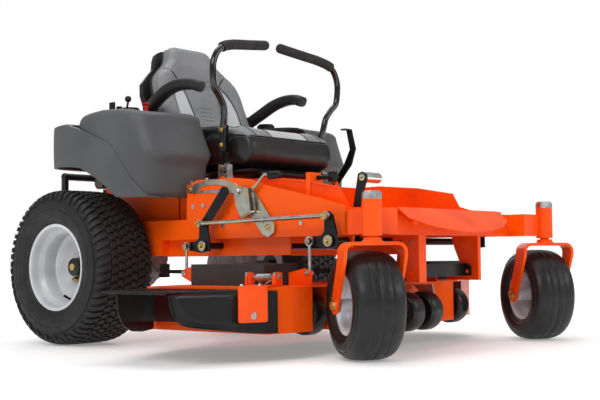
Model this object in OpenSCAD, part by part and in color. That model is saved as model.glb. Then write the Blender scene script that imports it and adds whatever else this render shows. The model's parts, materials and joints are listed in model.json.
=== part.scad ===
// Zero turn mower with a 54 inch deck, facing -Y. All sizes are in millimetres.
// Work frame: X is across (operator's left is +X), the rear axle is at y = 0, the ground at z = 0.

/* [Overall] */
// Distance from the rear axle forward to the caster pivots
wheelbase = 1367; // [1350:1:1380]
// Half the distance between the two caster pivots
caster_x = 518; // [512:1:524]
// Half the distance between the two rear wheel centres
drive_x = 535; // [532:1:540]

/* [Drive wheels] */
// Outer radius of a drive tyre
drive_r = 286; // [280:1:290]
// Width of a drive tyre
drive_w = 262; // [250:1:264]

/* [Casters] */
// Outer radius of a caster tyre
caster_r = 165; // [160:1:166]
// Width of a caster tyre
caster_w = 165; // [155:1:168]
// Distance from the swivel axis back to the caster axle
trail = 70; // [64:1:72]
// Direction that both casters trail in, from straight back towards +X
swivel = 32.4; // [0:0.1:60]

/* [Frame] */
// Outer face of the frame's side plates
plate_x = 390; // [388:1:392]
// Thickness of the side plates
plate_t = 5; // [4:0.5:6]
// Wall of the rectangular frame tubes
tube_wall = 4; // [3:0.5:5]

/* [Deck] */
// Half the width of the cutting deck
deck_half = 700; // [696:1:704]
// Height of the deck's top skin
deck_top = 222; // [220:1:224]
// Height of the deck's lower rim
deck_low = 82; // [78:1:90]
// Thickness of the deck's sheet
deck_t = 4; // [3:0.5:5]
// Length of a blade
blade_l = 450; // [400:1:454]

/* [Seat] */
// Half the width of the seat cushion
seat_half = 245; // [235:1:246]
// Recline of the backrest from upright
recline = 22; // [20:0.5:23]
// Thickness of the backrest pad
back_t = 84; // [70:1:86]

/* [Hidden] */
$fn = 48;
eps = 0.01;
hull_fn = 20;
// Moves the rear-axle frame to the middle of the footprint
shift_x = 150;
shift_y = 528.17;
caster_y = -wheelbase;
// Running clearance on a turning pin, per side
fit = 0.05;

// Levels of the frame
rail_low = 380;
rail_high = 452;
rail_in = 335;
beam_low = 379;
beam_high = 457;

// Lift linkage
lift_z = [355, 362];
lift_y = [-566, -1136];
lift_up = [4, 79];
lift_back = 74;
crank_x = 430;
crank_t = 8;
hook_z = 261;

// Spindles: right, centre, left
spindles = [[-447, -757], [0, -925], [447, -790]];
// Centre of the deck's round left end
deck_end = [455, -790];
belt_z = 262;

// Anti-scalp wheels: [x, y, z]
scalp = [[-462, -1060, 130], [-165, -1228, 130], [-62, -1228, 130], [302, -1095, 132.7]];
scalp_w = 70;

// Deflector hinge
chute_x = -600;
chute_z = 250;

// Steering levers, left side
lever_pivot = [-507, 600];
swing_pivot = [268, 640];
lever_path = [[277, -507, 700], [277, -507, 745], [277, -507, 790], [281, -517, 826], [291, -522, 868],
    [318, -526, 903], [344, -530, 930], [352, -533, 970], [352, -534, 1016], [334, -535, 1055],
    [309, -536.6, 1077.5]];
grip_path = [[304, -536.4, 1080.5], [272, -532, 1090], [232, -527, 1098], [180, -520, 1105],
    [128, -513, 1112], [78, -506, 1119], [29, -500, 1126]];

// Seat
seat_hinge = [-600, 604];
back_foot = [-215, 760];
arm_pivot = [-108, 893];

// Pedal and brake
brake_pivot = [-560, 600];

// ---------------------------------------------------------------- helpers

module place() translate([shift_x, shift_y, 0]) children();

module pair() {
    children();
    mirror([1, 0, 0]) children();
}

// Left-hand geometry, mirrored when side is -1
module sided(side) {
    if (side < 0)
        mirror([1, 0, 0]) children();
    else
        children();
}

module box(a, b) translate(a) cube(b - a);

// Box left and right of the centreline
module box_pair(a, b) pair() box(a, b);

// A (y, z) outline as a plate between two x values
module plate(x0, x1, points) translate([x0, 0, 0]) rotate([90, 0, 90])
    linear_extrude(x1 - x0) polygon(points);

module bar_x(x0, x1, at, r) translate([x0, at[0], at[1]]) rotate([0, 90, 0]) cylinder(h = x1 - x0, r = r);

module bar_y(y0, y1, at, r) translate([at[0], y0, at[1]]) rotate([-90, 0, 0]) cylinder(h = y1 - y0, r = r);

module bar_z(z0, z1, at, r) translate([at[0], at[1], z0]) cylinder(h = z1 - z0, r = r);

module rod(a, b, r) {
    v = b - a;
    translate(a) rotate([0, acos(v[2] / norm(v)), atan2(v[1], v[0])]) cylinder(h = norm(v), r = r);
}

// Point at u along a smooth curve through the four neighbours of span i
function spline(path, i, u) =
    let (n = len(path) - 1, a = path[max(i - 1, 0)], b = path[i], c = path[min(i + 1, n)],
        d = path[min(i + 2, n)])
    0.5 * (2 * b + (c - a) * u + (2 * a - 5 * b + 4 * c - d) * u * u + (3 * b - a - 3 * c + d) * u * u * u);

function smooth(path, steps) = concat(
    [for (i = [0:len(path) - 2], k = [0:steps - 1]) spline(path, i, k / steps)], [path[len(path) - 1]]);

function unit(v) = v / norm(v);

// Round bar swept along a smooth curve that lies roughly in the XZ plane
module bent_bar(path, r, sides = 14, steps = 2) {
    line = smooth(path, steps);
    n = len(line);
    rings = [for (i = [0:n - 1])
        let (t = unit(line[min(i + 1, n - 1)] - line[max(i - 1, 0)]), a = unit(cross(t, [0, 1, 0])),
            b = cross(t, a))
        for (k = [0:sides - 1]) line[i] + r * (cos(360 * k / sides) * a + sin(360 * k / sides) * b)];
    walls = [for (i = [0:n - 2], k = [0:sides - 1])
        let (a = i * sides + k, b = i * sides + (k + 1) % sides) [a, a + sides, b + sides, b]];
    polyhedron(rings, concat(walls, [[for (k = [0:sides - 1]) k]],
        [[for (k = [sides - 1:-1:0]) (n - 1) * sides + k]]), convexity = 6);
}

// Ring whose (radius, width) section is symmetrical about its middle, on the X axis
module ring_x(half) {
    n = len(half);
    section = concat(half, [for (i = [n - 1:-1:0]) [half[i][0], -half[i][1]]]);
    rotate([0, 90, 0]) rotate_extrude($fn = 96) polygon(section);
}

module hex_bolt(x, at, r, h) translate([x, at[0], at[1]]) rotate([0, 90, 0]) cylinder(h = h, r = r, $fn = 6);

// Places a caster's own frame (x along the axle, y back along the trail) at a pivot
module caster_at(side) translate([side * caster_x, caster_y, 0]) rotate([0, 0, -swivel]) children();

// ---------------------------------------------------------------- frame

side_outline = [[-200, rail_low], [-200, rail_high], [-430, rail_high], [-434, 574], [-486, 592],
    [-676, 589], [-748, 581], [-804, 561], [-1059, 502], [-1162, 472], [-1162, rail_low]];

module rail() difference() {
    box([rail_in, -1162, rail_low], [plate_x - plate_t, 340, rail_high]);
    box([rail_in + tube_wall, -1163, rail_low + tube_wall],
        [plate_x - plate_t - tube_wall, 341, rail_high - tube_wall]);
}

module side_plate() difference() {
    plate(plate_x - plate_t, plate_x, side_outline);
    for (at = [[-470, 545], [-640, 470], [-560, 480]])
        bar_x(plate_x - plate_t - 1, plate_x + 1, at, 5);
}

module seat_tower() {
    box([-(plate_x - plate_t), -612, 556], [plate_x - plate_t, -426, 562]);
    box([-299.5, -427, 556], [299.5, -300, 562]);
    box_pair([rail_in, -612, rail_high], [rail_in + 5, -426, 556]);
    box_pair([294.5, -426, rail_high - 10], [299.5, -300, 556]);
    pair() plate(150, 156, [[-618, 556], [-578, 556], [-587, 604], [-613, 604]]);
    pair() bar_x(150, 156, seat_hinge, 12.5);
    bar_x(-158, 158, seat_hinge, 6);
}

module lever_post() {
    plate(244, 250, [[-532, 561], [-482, 561], [-490, 618], [-524, 618]]);
    bar_x(240, 286, lever_pivot, 10);
}

module lift_bearing(i) difference() {
    y = lift_y[i];
    plate(342, 350, [[y - 26, rail_low + eps], [y + 26, rail_low + eps], [y + 20, lift_z[i] - 22],
        [y - 20, lift_z[i] - 22]]);
    bar_x(340, 352, [y, lift_z[i]], 12 + fit);
}

module lower_rail() difference() {
    box([342, -891, 320], [350, -286, rail_low + eps]);
    bar_x(340, 352, [lift_y[0], lift_z[0]], 12 + fit);
}

module main_frame() color("orangered") place() {
    pair() {
        rail();
        side_plate();
        lower_rail();
        lift_bearing(1);
        lever_post();
        plate(305.3, 311, [[-400, 562.3], [-400, 700], [-340, 780], [60, 780], [120, 700], [120, rail_high],
            [-300, rail_high], [-300, 562.3]]);
        box([311, -300, rail_high], [rail_in + 5, 120, rail_high + 5]);
        box([plate_x - plate_t, -290, 323], [plate_x, -231, rail_low + 1]);
        box([346, -294, 323], [plate_x - 1, -288, rail_low + 1]);
    }
    difference() {
        box([-rail_in, -60, rail_high - 6], [rail_in, 340, rail_high]);
        bar_z(rail_high - 10, rail_high + 1, [0, 180], 55);
    }
    box([-rail_in, -250, rail_low], [rail_in, -210, rail_high - 6]);
    box([-rail_in, 300, rail_low], [rail_in, 340, rail_high - 6]);
    seat_tower();
    plate(296, 302, [[-580, 561], [-540, 561], [-545, 590], [-575, 590]]);
    difference() {
        bar_x(288, 302, brake_pivot, 16);
        bar_x(280, 310, brake_pivot, 6 + fit);
    }
    difference() {
        box([-rail_in, -975, 560], [-282, -957, 594]);
        bar_y(-980, -950, [-300, 577], 8 + fit);
    }
    box([-rail_in - 5, -975, rail_high], [-rail_in + 0.7, -957, 594]);
}

module front_axle_beam() color("orangered") place() {
    difference() {
        box([-385, -1295, beam_low], [385, -1190, beam_high]);
        box([-380, -1291, beam_low - 1], [380, -1194, beam_high - 4]);
    }
    pair() difference() {
        union() {
            translate([0, 0, beam_low]) linear_extrude(beam_high - beam_low)
                polygon([[rail_in, -1162], [plate_x, -1162], [452, -1225], [470, -1338], [500, -1345],
                    [500, -1362], [383, -1362], [383, -1296], [rail_in, -1296]]);
            bar_z(372, 481, [caster_x, caster_y], 29.5);
        }
        bar_z(360, 490, [caster_x, caster_y], 16);
        translate([0, 0, beam_low + 5]) linear_extrude(beam_high - beam_low - 10)
            polygon([[rail_in + 6, -1150], [384, -1150], [444, -1226], [462, -1325], [392, -1325],
                [392, -1290], [rail_in + 6, -1290]]);
    }
}

// Footwell tub with the sloping nose plate welded to its front edge
nose_top = [-1298, 465];
nose_tilt = 37.6;
nose_half = 300;

module nose_outline() {
    depth = 126;
    corner = 66;
    arc = [for (i = [0:12]) let (u = 1 - 2 * i / 12) [242 * u, depth - (depth - corner - 20) * u * u]];
    polygon(concat([[-nose_half, 0], [nose_half, 0], [nose_half, corner - 10], [262, corner + 8]], arc,
        [[-262, corner + 8], [-nose_half, corner - 10]]));
}

module footwell_pan() color("orangered") place() {
    wall = [[-614, 562], [-614, 585], [-757, 586], [-931, 570], [-1094, 541], [-1135, 471], [-1297, 465],
        [-1297, 457.5], [-1189, 457.5], [-1189, 422.5], [-643, 401], [-643, 562]];
    difference() {
        union() {
            plate(-334, 334, [[-640, 585], [-640, 401], [-1189, 422.5], [-1189, 457.5], [-1297, 457.5],
                [-1297, 465], [-1293, 465], [-1293, 461.5], [-1185, 461.5], [-1185, 426.4], [-643, 405],
                [-643, 585]]);
            pair() plate(331, 334, wall);
            pair() plate(331, 339, [[-620, 581], [-620, 585], [-757, 586], [-931, 570], [-1094, 541],
                [-1094, 537], [-931, 566], [-757, 582]]);
        }
        box([-320, -1182, 400], [-280, -1075, 445]);
        box([-350, -980, 553], [-300, -950, 600]);
    }
    translate([0, nose_top[0], nose_top[1]]) rotate([nose_tilt - 180, 0, 0]) translate([0, 0, -2])
        linear_extrude(4) nose_outline();
    plate(-280, -276, [[-1296, 461], [-1310, 452], [-1362, 412], [-1350, 408], [-1296, 440]]);
    plate(276, 280, [[-1296, 461], [-1310, 452], [-1362, 412], [-1350, 408], [-1296, 440]]);
}

module deck_hangers() color("orangered") place() {
    side = [[-1293, beam_low], [-1293, 226], [-1250, 226], [-1240, 245], [-1200, 340], [-1190, beam_low]];
    pair() {
        plate(174, 180, side);
        bar_x(150, 190, [-1266, 257], 6);
    }
    box([-180, -1297, 226], [-140, -1293, beam_low]);
    box([174, -1297, 226], [192, -1293, beam_low]);
}

module front_link() color("dimgray") place() {
    pair() difference() {
        union() {
            plate(152, 160, [[-1280, 242], [-1280, 272], [-1262, 285], [-1110, 285], [-1092, 275],
                [-1092, 250], [-1110, 241]]);
        }
        bar_x(140, 170, [-1266, 257], 6 + fit);
        bar_x(140, 170, [-1108, 263], 9);
    }
    box([-152, -1252, 241], [152, -1246, 285]);
}

module rear_bumper() color("#303030") place() {
    box([-385, 345, 384], [385, 351, 448]);
    pair() {
        rod([300, 351, 416], [300, 402, 430], 15);
        translate([300, 402, 430]) sphere(r = 16);
        rod([300, 402, 430], [300, 402, 660], 15);
        translate([300, 402, 660]) sphere(r = 16);
        box([360, 340, 384], [385, 346, 448]);
    }
    rod([-300, 402, 660], [300, 402, 660], 15);
    rod([-300, 402, 540], [300, 402, 540], 12);
    difference() {
        box([-45, 350, 388], [45, 419, 396]);
        bar_z(380, 400, [0, 398], 8);
    }
}

// ---------------------------------------------------------------- fenders with fuel tanks

fender_top = [[168, 685], [146, 771], [114, 807], [65, 821], [15, 821], [-3, 842], [-57, 855],
    [-174, 861], [-314, 850], [-385, 828], [-430, 760], [-460, 675]];
fender_side = concat(fender_top, [[-425, 668], [-425, 530], [-280, 534], [-230, 572], [-173, 608],
    [-86, 649], [-27, 657], [152, 661]]);
fender_cavity = concat(fender_top, [[-425, 668], [-425, 400], [152, 400]]);
fender_front = [[300, 400], [300, 850], [360, 862], [520, 862], [562, 848], [588, 820], [600, 775],
    [600, 400]];
fender_plan = [[300, -520], [450, -505], [520, -455], [575, -380], [600, -300], [600, 50], [582, 125],
    [545, 180], [300, 180]];

module fender_shape(side, inset) intersection() {
    translate([300 - 20, 0, 0]) rotate([90, 0, 90]) linear_extrude(340) offset(delta = -inset) polygon(side);
    translate([0, 200, 0]) rotate([90, 0, 0]) linear_extrude(740)
        offset(delta = -inset) polygon(fender_front);
    translate([0, 0, 380]) linear_extrude(500) offset(delta = -inset) polygon(fender_plan);
}

// Holes for the controls that pass through the right fender
module console_holes() {
    bar_z(820, 880, [480, -165], 4.4);
    bar_z(820, 880, [450, -281], 7.4);
    bar_z(820, 880, [480, -125], 9.4);
    box([473, -242, 830], [487, -180, 880]);
}

module fender(side) color("gray") place() sided(side) {
    difference() {
        fender_shape(fender_side, 0);
        fender_shape(fender_cavity, 5);
        if (side < 0) console_holes();
    }
    bar_z(855, 870, [380, -110], 28);
}

module fender_right() fender(-1);
module fender_left() fender(1);

module fuel_cap(side) color("black") place() sided(side) difference() {
    union() {
        bar_z(862.5, 884, [380, -110], 36);
        bar_z(884 - eps, 889, [380, -110], 32);
        for (i = [0:11])
            translate([380, -110, 864]) rotate([0, 0, i * 30]) translate([35, -4, 0]) cube([3, 8, 18]);
    }
    bar_z(860, 870.5, [380, -110], 28 + fit);
}

module fuel_cap_right() fuel_cap(-1);
module fuel_cap_left() fuel_cap(1);

// ---------------------------------------------------------------- engine and drive

engine_y = 180;

module engine_block() color("#3a3a3a") place() {
    bar_z(rail_high, rail_high + 12, [0, engine_y], 150);
    bar_z(rail_high, 590, [0, engine_y], 118);
    for (a = [-45, 45]) translate([0, engine_y, 530]) rotate([0, 0, a]) {
        translate([-42, 60, -42]) cube([84, 130, 84]);
        for (i = [0:7])
            translate([-58, 92 + 12 * i, -56]) cube([116, 5, 112]);
        translate([-52, 188, -50]) cube([104, 22, 100]);
    }
    bar_z(230, rail_high, [0, engine_y], 14);
    bar_z(305, 365, [0, engine_y], 52);
    bar_z(236, 292, [0, engine_y], 60);
    rod([-108, engine_y - 30, 503], [-165, engine_y - 30, 503], 34);
}

module blower_housing() color("#262626") place() {
    difference() {
        union() {
            bar_z(606, 690, [0, engine_y], 150);
            translate([0, engine_y, 690 - eps]) cylinder(h = 34, r1 = 150, r2 = 126);
        }
        bar_z(599, 684, [0, engine_y], 145);
    }
    for (i = [0:9])
        translate([0, engine_y, 724]) rotate([0, 0, i * 36]) translate([40, -4, 0]) cube([84, 8, 8]);
    bar_z(724, 740, [0, engine_y], 42);
    box([-150, engine_y - 168, 640], [150, engine_y - 110, 790]);
    box([-140, engine_y - 112, 742], [140, engine_y - 20, 790]);
    for (a = [-45, 45]) translate([0, engine_y, 591]) rotate([0, 0, a])
        translate([-62, 90, 0]) cube([124, 122, 14]);
}

module muffler() color("#555555") place() {
    bar_x(-150, 150, [364, 640], 27);
    for (x = [-154, 146])
        bar_x(x, x + 8, [364, 640], 28);
    for (s = [-1, 1])
        rod([s * 110, 352, 640], [s * 122, 306, 626], 11);
    rod([148, 364, 640], [195, 364, 640], 12);
}

module transaxle() {
    difference() {
        union() {
            bar_x(207, 330, [0, drive_r], 82);
            bar_x(330 - eps, 372, [0, drive_r], 40);
            box([209, -125, 293], [300, -40, 372]);
        }
        bar_x(320, 380, [0, drive_r], 17 + fit);
    }
    bar_z(372 - eps, 440, [252, -84], 9);
    bar_z(402, 420, [252, -84], 58);
    bar_z(426, 434, [252, -84], 74);
    box([250, 20, 300], [300, 60, rail_low - 4]);
    box([250, 20, rail_low - 4.02], [rail_in + 30, 60, rail_low]);
}

module transaxles() color("#8a8d90") place() pair() transaxle();

// ---------------------------------------------------------------- fasteners

module caps_and_bolts() color("silver") place() {
    pair() {
        bar_z(481, 500, [caster_x, caster_y], 30);
        bar_z(500 - eps, 505, [caster_x, caster_y], 26);
        for (at = [[-455, 585], [-520, 500], [-470, 497], [-620, 425], [-980, 425], [-690, 500]])
            hex_bolt(plate_x, at, 9, 6);
        for (y = [-1270, -1228])
            hex_bolt(180, [y, 355], 8, 6);
    }
}

// ---------------------------------------------------------------- height of cut

arm_bolt = [-838, 412];

module height_quadrant() color("silver") place() mirror([1, 0, 0]) {
    outer = [for (a = [0:10:180]) [-565 + 128 * cos(a), 548 + 42 * sin(a)]];
    difference() {
        plate(plate_x, plate_x + 4, concat(outer, [[-690, 535], [-445, 548]]));
        plate(plate_x - 1, plate_x + 5, [for (a = [0:15:180]) [-570 + 78 * cos(a), 553 + 18 * sin(a)]]);
    }
}

module height_arm() color("silver") place() mirror([1, 0, 0]) {
    difference() {
        union() {
            plate(plate_x + 6, plate_x + 11, [[-838, 380], [-866, 396], [-868, 425], [-770, 545],
                [-700, 560], [-690, 535], [-812, 392]]);
            plate(plate_x + 11, plate_x + 16, [[-700, 560], [-768, 548], [-780, 470], [-735, 450],
                [-712, 490]]);
            plate(plate_x + 32, plate_x + 36, [[-700, 560], [-768, 548], [-780, 470], [-735, 450],
                [-712, 490]]);
            plate(plate_x + 16, plate_x + 32, [[-780, 470], [-735, 450], [-737, 446], [-783, 466]]);
        }
        bar_x(plate_x, plate_x + 20, arm_bolt, 7 + fit);
        bar_x(plate_x + 5, plate_x + 40, [-722, 540], 6 + fit);
    }
    plate(plate_x + 16, plate_x + 22, [[-762, 545], [-790, 560], [-832, 596], [-868, 590], [-868, 583],
        [-834, 588], [-796, 552], [-772, 536]]);
    box([plate_x + 12, -900, 576], [plate_x + 26, -852, 596]);
}

module height_pin() color("silver") place() mirror([1, 0, 0]) {
    bar_x(plate_x + 1, plate_x + 52, [-722, 540], 6);
    bar_x(plate_x + 37, plate_x + 42, [-722, 540], 11);
    bar_x(plate_x + 52 - eps, plate_x + 56, [-722, 540], 8);
}

// ---------------------------------------------------------------- seat

// Point on the backrest's own (along, behind) frame, as (y, z)
function back_point(s, n) = [back_foot[0] + s * sin(recline) + n * cos(recline),
    back_foot[1] + s * cos(recline) - n * sin(recline)];

back_half = [[-60, 212], [0, 232], [97, 249], [259, 249], [310, 233], [352, 190], [388, 148],
    [432, 130], [460, 112], [474, 80]];

module back_outline(grow) polygon(concat(
    [for (p = back_half) [p[1] + grow, p[0]]],
    [for (i = [len(back_half) - 1:-1:0]) [-back_half[i][1] - grow, back_half[i][0]]]));

// Slab that leans with the backrest, between two depths
module back_slab(n0, n1, grow) translate([0, back_foot[0], back_foot[1]]) rotate([90 - recline, 0, 0])
    translate([0, 0, -n1]) linear_extrude(n1 - n0) back_outline(grow);

module seat_base() color("#222222") place() {
    box([-190, -612, 619], [190, -225, 627]);
    pair() {
        difference() {
            plate(140, 148, [[-614, 592], [-586, 592], [-578, 620], [-612, 620]]);
            bar_x(130, 152, seat_hinge, 6 + fit);
        }
        bar_z(563, 620, [120, -290], 18);
    }
}

module seat_cushion() color("lightgray") place()
    plate(-seat_half, seat_half, [[-262, 642], [-212, 784], [-250, 800], [-400, 806], [-560, 798],
        [-602, 772], [-618, 735], [-620, 690], [-604, 652], [-560, 642]]);

module seat_back() color("gray") place() back_slab(0, back_t, 0);

module seat_shell() color("#1c1c1c") place() {
    back_slab(back_t + 3, back_t + 27, 3);
    plate(-235, 235, [[-600, 627], [-606, 636], [-200, 636], back_point(-58, back_t + 4),
        back_point(-58, back_t + 26), [-150, 640], [-170, 627]]);
    pair() {
        plate(256, 262, [[-200, 627], [-150, 627], [-92, 870], [-88, 906], [-126, 908], [-138, 872]]);
        box([230, -200, 627], [262, -158, 633]);
        bar_x(256, 306, arm_pivot, 6);
    }
}

module armrest(side) color("#202020") place() sided(side) {
    path = [[288, -108, 893], [296, -170, 925], [301, -235, 956], [301, -300, 970], [294, -360, 966],
        [286, -398, 952]];
    difference() {
        for (i = [0:len(path) - 2]) hull() {
            translate(path[i]) sphere(r = 24, $fn = hull_fn);
            translate(path[i + 1]) sphere(r = 24, $fn = hull_fn);
        }
        bar_x(250, 330, arm_pivot, 6 + fit);
    }
}

module armrest_right() armrest(-1);
module armrest_left() armrest(1);

// ---------------------------------------------------------------- steering levers

module lever_base(side) color("silver") place() sided(side) {
    difference() {
        union() {
            bar_x(253, 282, lever_pivot, 19);
            box([254, -531, 596], [282, -483, 620]);
        }
        bar_x(250, 290, lever_pivot, 10 + fit);
    }
    for (y = [-531, -489])
        box([255, y, 619], [281, y + 6, 654]);
    bar_y(-531, -483, swing_pivot, 6);
}

module lever_base_right() lever_base(-1);
module lever_base_left() lever_base(1);

module lever(side) color("#161616") place() sided(side) {
    difference() {
        union() {
            bar_y(-523, -491, swing_pivot, 11);
            plate(260, 264.4, [[-520, 642], [-494, 642], [-490, 800], [-518, 800]]);
            box([260, -520, 640], [266, -494, 650]);
        }
        bar_y(-540, -480, swing_pivot, 6 + fit);
    }
    bent_bar(lever_path, 12.5);
    for (z = [724, 780])
        bar_x(256, 292, [-507, z], 5);
    bent_bar(grip_path, 19);
}

module lever_right() lever(-1);
module lever_left() lever(1);

// ---------------------------------------------------------------- deck

// Edge of the deck seen from above; the skirt steps back round the two outer scalp wheels
module deck_outline(skirt) {
    end = [for (a = [-60:15:90]) [deck_end[0] + 245 * cos(a), deck_end[1] + 245 * sin(a)]];
    right_bay = skirt ? [[-507.3, -1122], [-507.3, -993], [-419, -993], [-419, -1122]] : [];
    left_bay = skirt ? [[256.7, -1138.4], [256.7, -1024], [350, -1024]] : [[300, -1130]];
    polygon(concat([[-deck_half, -570], [-deck_half, -1108], [-600, -1122]], right_bay, [[-415, -1122],
        [-360, -1155], [-250, -1159], [150, -1159]], left_bay, [[430, -1060]], end, [[150, -640],
        [-150, -640], [-250, -600], [-375, -520], [-520, -520], [-600, -556]]));
}

module deck_tabs() {
    pair() {
        plate(455, 461, [[-983, 220], [-983, 262], [-1050, 276], [-1080, 262], [-1075, 220]]);
        bar_x(443, 463, [lift_y[1] + lift_back, hook_z], 6);
        bar_x(443, 463, [lift_y[0] + lift_back, hook_z], 6);
        plate(164, 170, [[-1130, 220], [-1125, 275], [-1092, 275], [-1080, 220]]);
        bar_x(148, 170, [-1108, 263], 6);
    }
    pair() plate(455, 461, [[-625, 220], [-625, 238], [-560, 246], [-520, 282], [-478, 272], [-478, 250],
        [-550, 220]]);
}

module deck_shell() color("orangered") place() {
    difference() {
        union() {
            translate([0, 0, deck_low]) linear_extrude(deck_top - deck_low - 1) difference() {
                deck_outline(true);
                offset(delta = -deck_t) deck_outline(true);
            }
            translate([0, 0, deck_top - deck_t]) linear_extrude(deck_t) deck_outline(false);
        }
        box([-deck_half - 1, -1085, 108], [-deck_half + 10, -602, 205]);
        for (s = spindles)
            bar_z(deck_top - 10, deck_top + 1, s, 40);
    }
    deck_tabs();
}

// Front wall of the discharge hood: u runs outwards from the deck's front corner, v upwards
module hood_wall(thickness, points) {
    slope = atan2(104, 288);
    translate([-712, -1108, 0]) rotate([0, 0, 180 - slope]) rotate([90, 0, 0]) linear_extrude(thickness)
        polygon(points);
}

module deflector() place() {
    color("#101010") {
        translate([0, 0, 212]) linear_extrude(4) polygon([[-706, -602], [-760, -612], [-1000, -706],
            [-1000, -1004], [-712, -1108]]);
        hood_wall(5, [[0, 214], [0, 88], [60, 88], [180, 100], [256, 116], [292, 145], [306, 190],
            [306, 214]]);
        translate([-1.7, -4.7, 0]) hood_wall(4.9, [[-43, 214], [-43, 88], [12, 88], [12, 214]]);
        translate([-706, -606, 0]) rotate([0, 0, -157.5]) rotate([90, 0, 0]) linear_extrude(4.5)
            polygon([[0, 214], [0, 84], [84, 80], [160, 86], [215, 108], [246, 148], [256, 214]]);
    }
    color("orangered") difference() {
        union() {
            for (y = [-1056, -957])
                plate(-612, -588, [[y, 225], [y + 6, 225], [y + 6, 262], [y, 262]]);
            translate([0, 0, 223.6]) linear_extrude(4) polygon([[-604, -950], [-604, -1057],
                [-620, -1057], [-620, -1070], [-708, -1112], [-795, -1081]]);
            translate([-1.7, -4.7, 0]) hood_wall(4.9, [[-8, 227.6], [-8, 120], [89, 120], [89, 227.6]]);
        }
        bar_y(-1060, -940, [chute_x, chute_z], 5 + fit);
    }
}

module scalp_bracket(i) {
    c = scalp[i];
    side = i == 2 ? 1 : -1;
    x = c[0] + side * (scalp_w / 2 + 5);
    back = c[1] < -1200 ? 68.7 : 60;
    plate(min(x, x + side * 5), max(x, x + side * 5), [[c[1] - 26, c[2] - 30], [c[1] + 26, c[2] - 30],
        [c[1] + 34, c[2] + 50], [c[1] + back, deck_top - 6], [c[1] - 10, deck_top - 6]]);
    bar_x(min(c[0] - side * 42, x + side * 5), max(c[0] - side * 42, x + side * 5), [c[1], c[2]], 8);
}

module deck_fittings() color("#b9bcc0") place() {
    for (s = spindles) difference() {
        union() {
            bar_z(deck_top, deck_top + 8, s, 75);
            bar_z(deck_top - 40, deck_top + 26, s, 36);
        }
        bar_z(deck_top - 60, deck_top + 40, s, 12.5 + fit);
    }
    for (y = [-1066, -946])
        box([-616, y, deck_top + 0.3], [-584, y + 8, chute_z + 16]);
    bar_y(-1070, -934, [chute_x, chute_z], 5);
    bar_y(-1036, -976, [chute_x, chute_z], 9.4);
    for (i = [0:3])
        scalp_bracket(i);
}

module belt_cover(s, side, front) {
    outer = [[-130, -front], [110, -front + 25], [125, 80], [60, 100], [-125, 125]];
    translate([s[0] - side * 10, s[1], 0]) sided(-side)
        difference() {
            translate([0, 0, deck_top + 0.3]) linear_extrude(70) polygon(outer);
            translate([0, 0, deck_top - 1]) linear_extrude(67) offset(delta = -3) polygon(outer);
            box([60, -200, deck_top + 20], [200, 200, deck_top + 66]);
            box([-60, 60, deck_top + 20], [140, 200, deck_top + 66]);
        }
}

module belt_covers() color("#4a4a4a") place() {
    belt_cover(spindles[0], -1, 215);
    belt_cover(spindles[2], 1, 185);
}

module blade(i) color("#5a5a5a") place() {
    s = spindles[i];
    bar_z(98, deck_top + 60, s, 12.5);
    bar_z(110, deck_top - 41, s, 24);
    difference() {
        bar_z(belt_z - 10, belt_z + 10, s, 70);
        translate([s[0], s[1], belt_z]) rotate_extrude($fn = 64)
            polygon([[72, -8], [64, -6], [64, 6], [72, 8]]);
    }
    translate([s[0], s[1], 0]) rotate([0, 0, 20 + 25 * i]) {
        difference() {
            translate([-blade_l / 2, -30, 104]) cube([blade_l, 60, 6]);
            for (a = [0, 180]) rotate([0, 0, a])
                translate([110, 18, 100]) cube([blade_l, 20, 20]);
        }
        for (a = [0, 180]) rotate([0, 0, a])
            translate([130, -34, 110 - eps]) rotate([35, 0, 0]) cube([80, 4, 20]);
    }
}

module blade_right() blade(0);
module blade_center() blade(1);
module blade_left() blade(2);

module deck_belt() color("#1a1a1a") place() translate([0, 0, belt_z - 5]) linear_extrude(10) difference() {
    hull() {
        for (s = spindles) translate(s) circle(r = 74);
        translate([0, engine_y]) circle(r = 70);
    }
    hull() {
        for (s = spindles) translate(s) circle(r = 64.6);
        translate([0, engine_y]) circle(r = 60.6);
    }
}

module scalp_wheel(i) color("#151515") place() translate(scalp[i])
    ring_x([[8 + fit, 36], [24, 36], [26, 30], [40, 30], [50, 34], [58, 31], [63, 23], [65, 12]]);

module scalp_wheel_right() scalp_wheel(0);
module scalp_wheel_mid_right() scalp_wheel(1);
module scalp_wheel_mid_left() scalp_wheel(2);
module scalp_wheel_left() scalp_wheel(3);

// ---------------------------------------------------------------- deck lift

module crank(i) {
    y = lift_y[i];
    z = lift_z[i];
    plate(crank_x, crank_x + crank_t, [[y - 28, z - 20], [y + 12, z - 24], [y + lift_back, z - 14],
        [y + lift_back + 14, z - 6], [y + lift_back + 14, z + 8], [y + lift_back, z + 14], [y + 34, z + 18],
        [y + 22, z + 30], [y + lift_up[0] + 16, z + lift_up[1] + 4], [y + lift_up[0], z + lift_up[1] + 16],
        [y + lift_up[0] - 16, z + lift_up[1] + 4], [y - 28, z + 20]]);
    bar_x(crank_x, crank_x + 30, [y + lift_back, z], 6);
    bar_x(crank_x, crank_x + 32, [y + lift_up[0], z + lift_up[1]], 6);
    bar_x(crank_x + crank_t - eps, crank_x + crank_t + 8, [y, z], 16);
}

module rear_lift_shaft() color("#181818") place() {
    bar_x(-crank_x - 1, crank_x + 1, [lift_y[0], lift_z[0]], 12);
    pair() crank(0);
    mirror([1, 0, 0]) plate(crank_x - 3.4, crank_x + eps, [[-582, 400], [-546, 400], [-546, 440], [-652, 559],
        [-674, 556], [-686, 538], [-582, 424]]);
}

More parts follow.
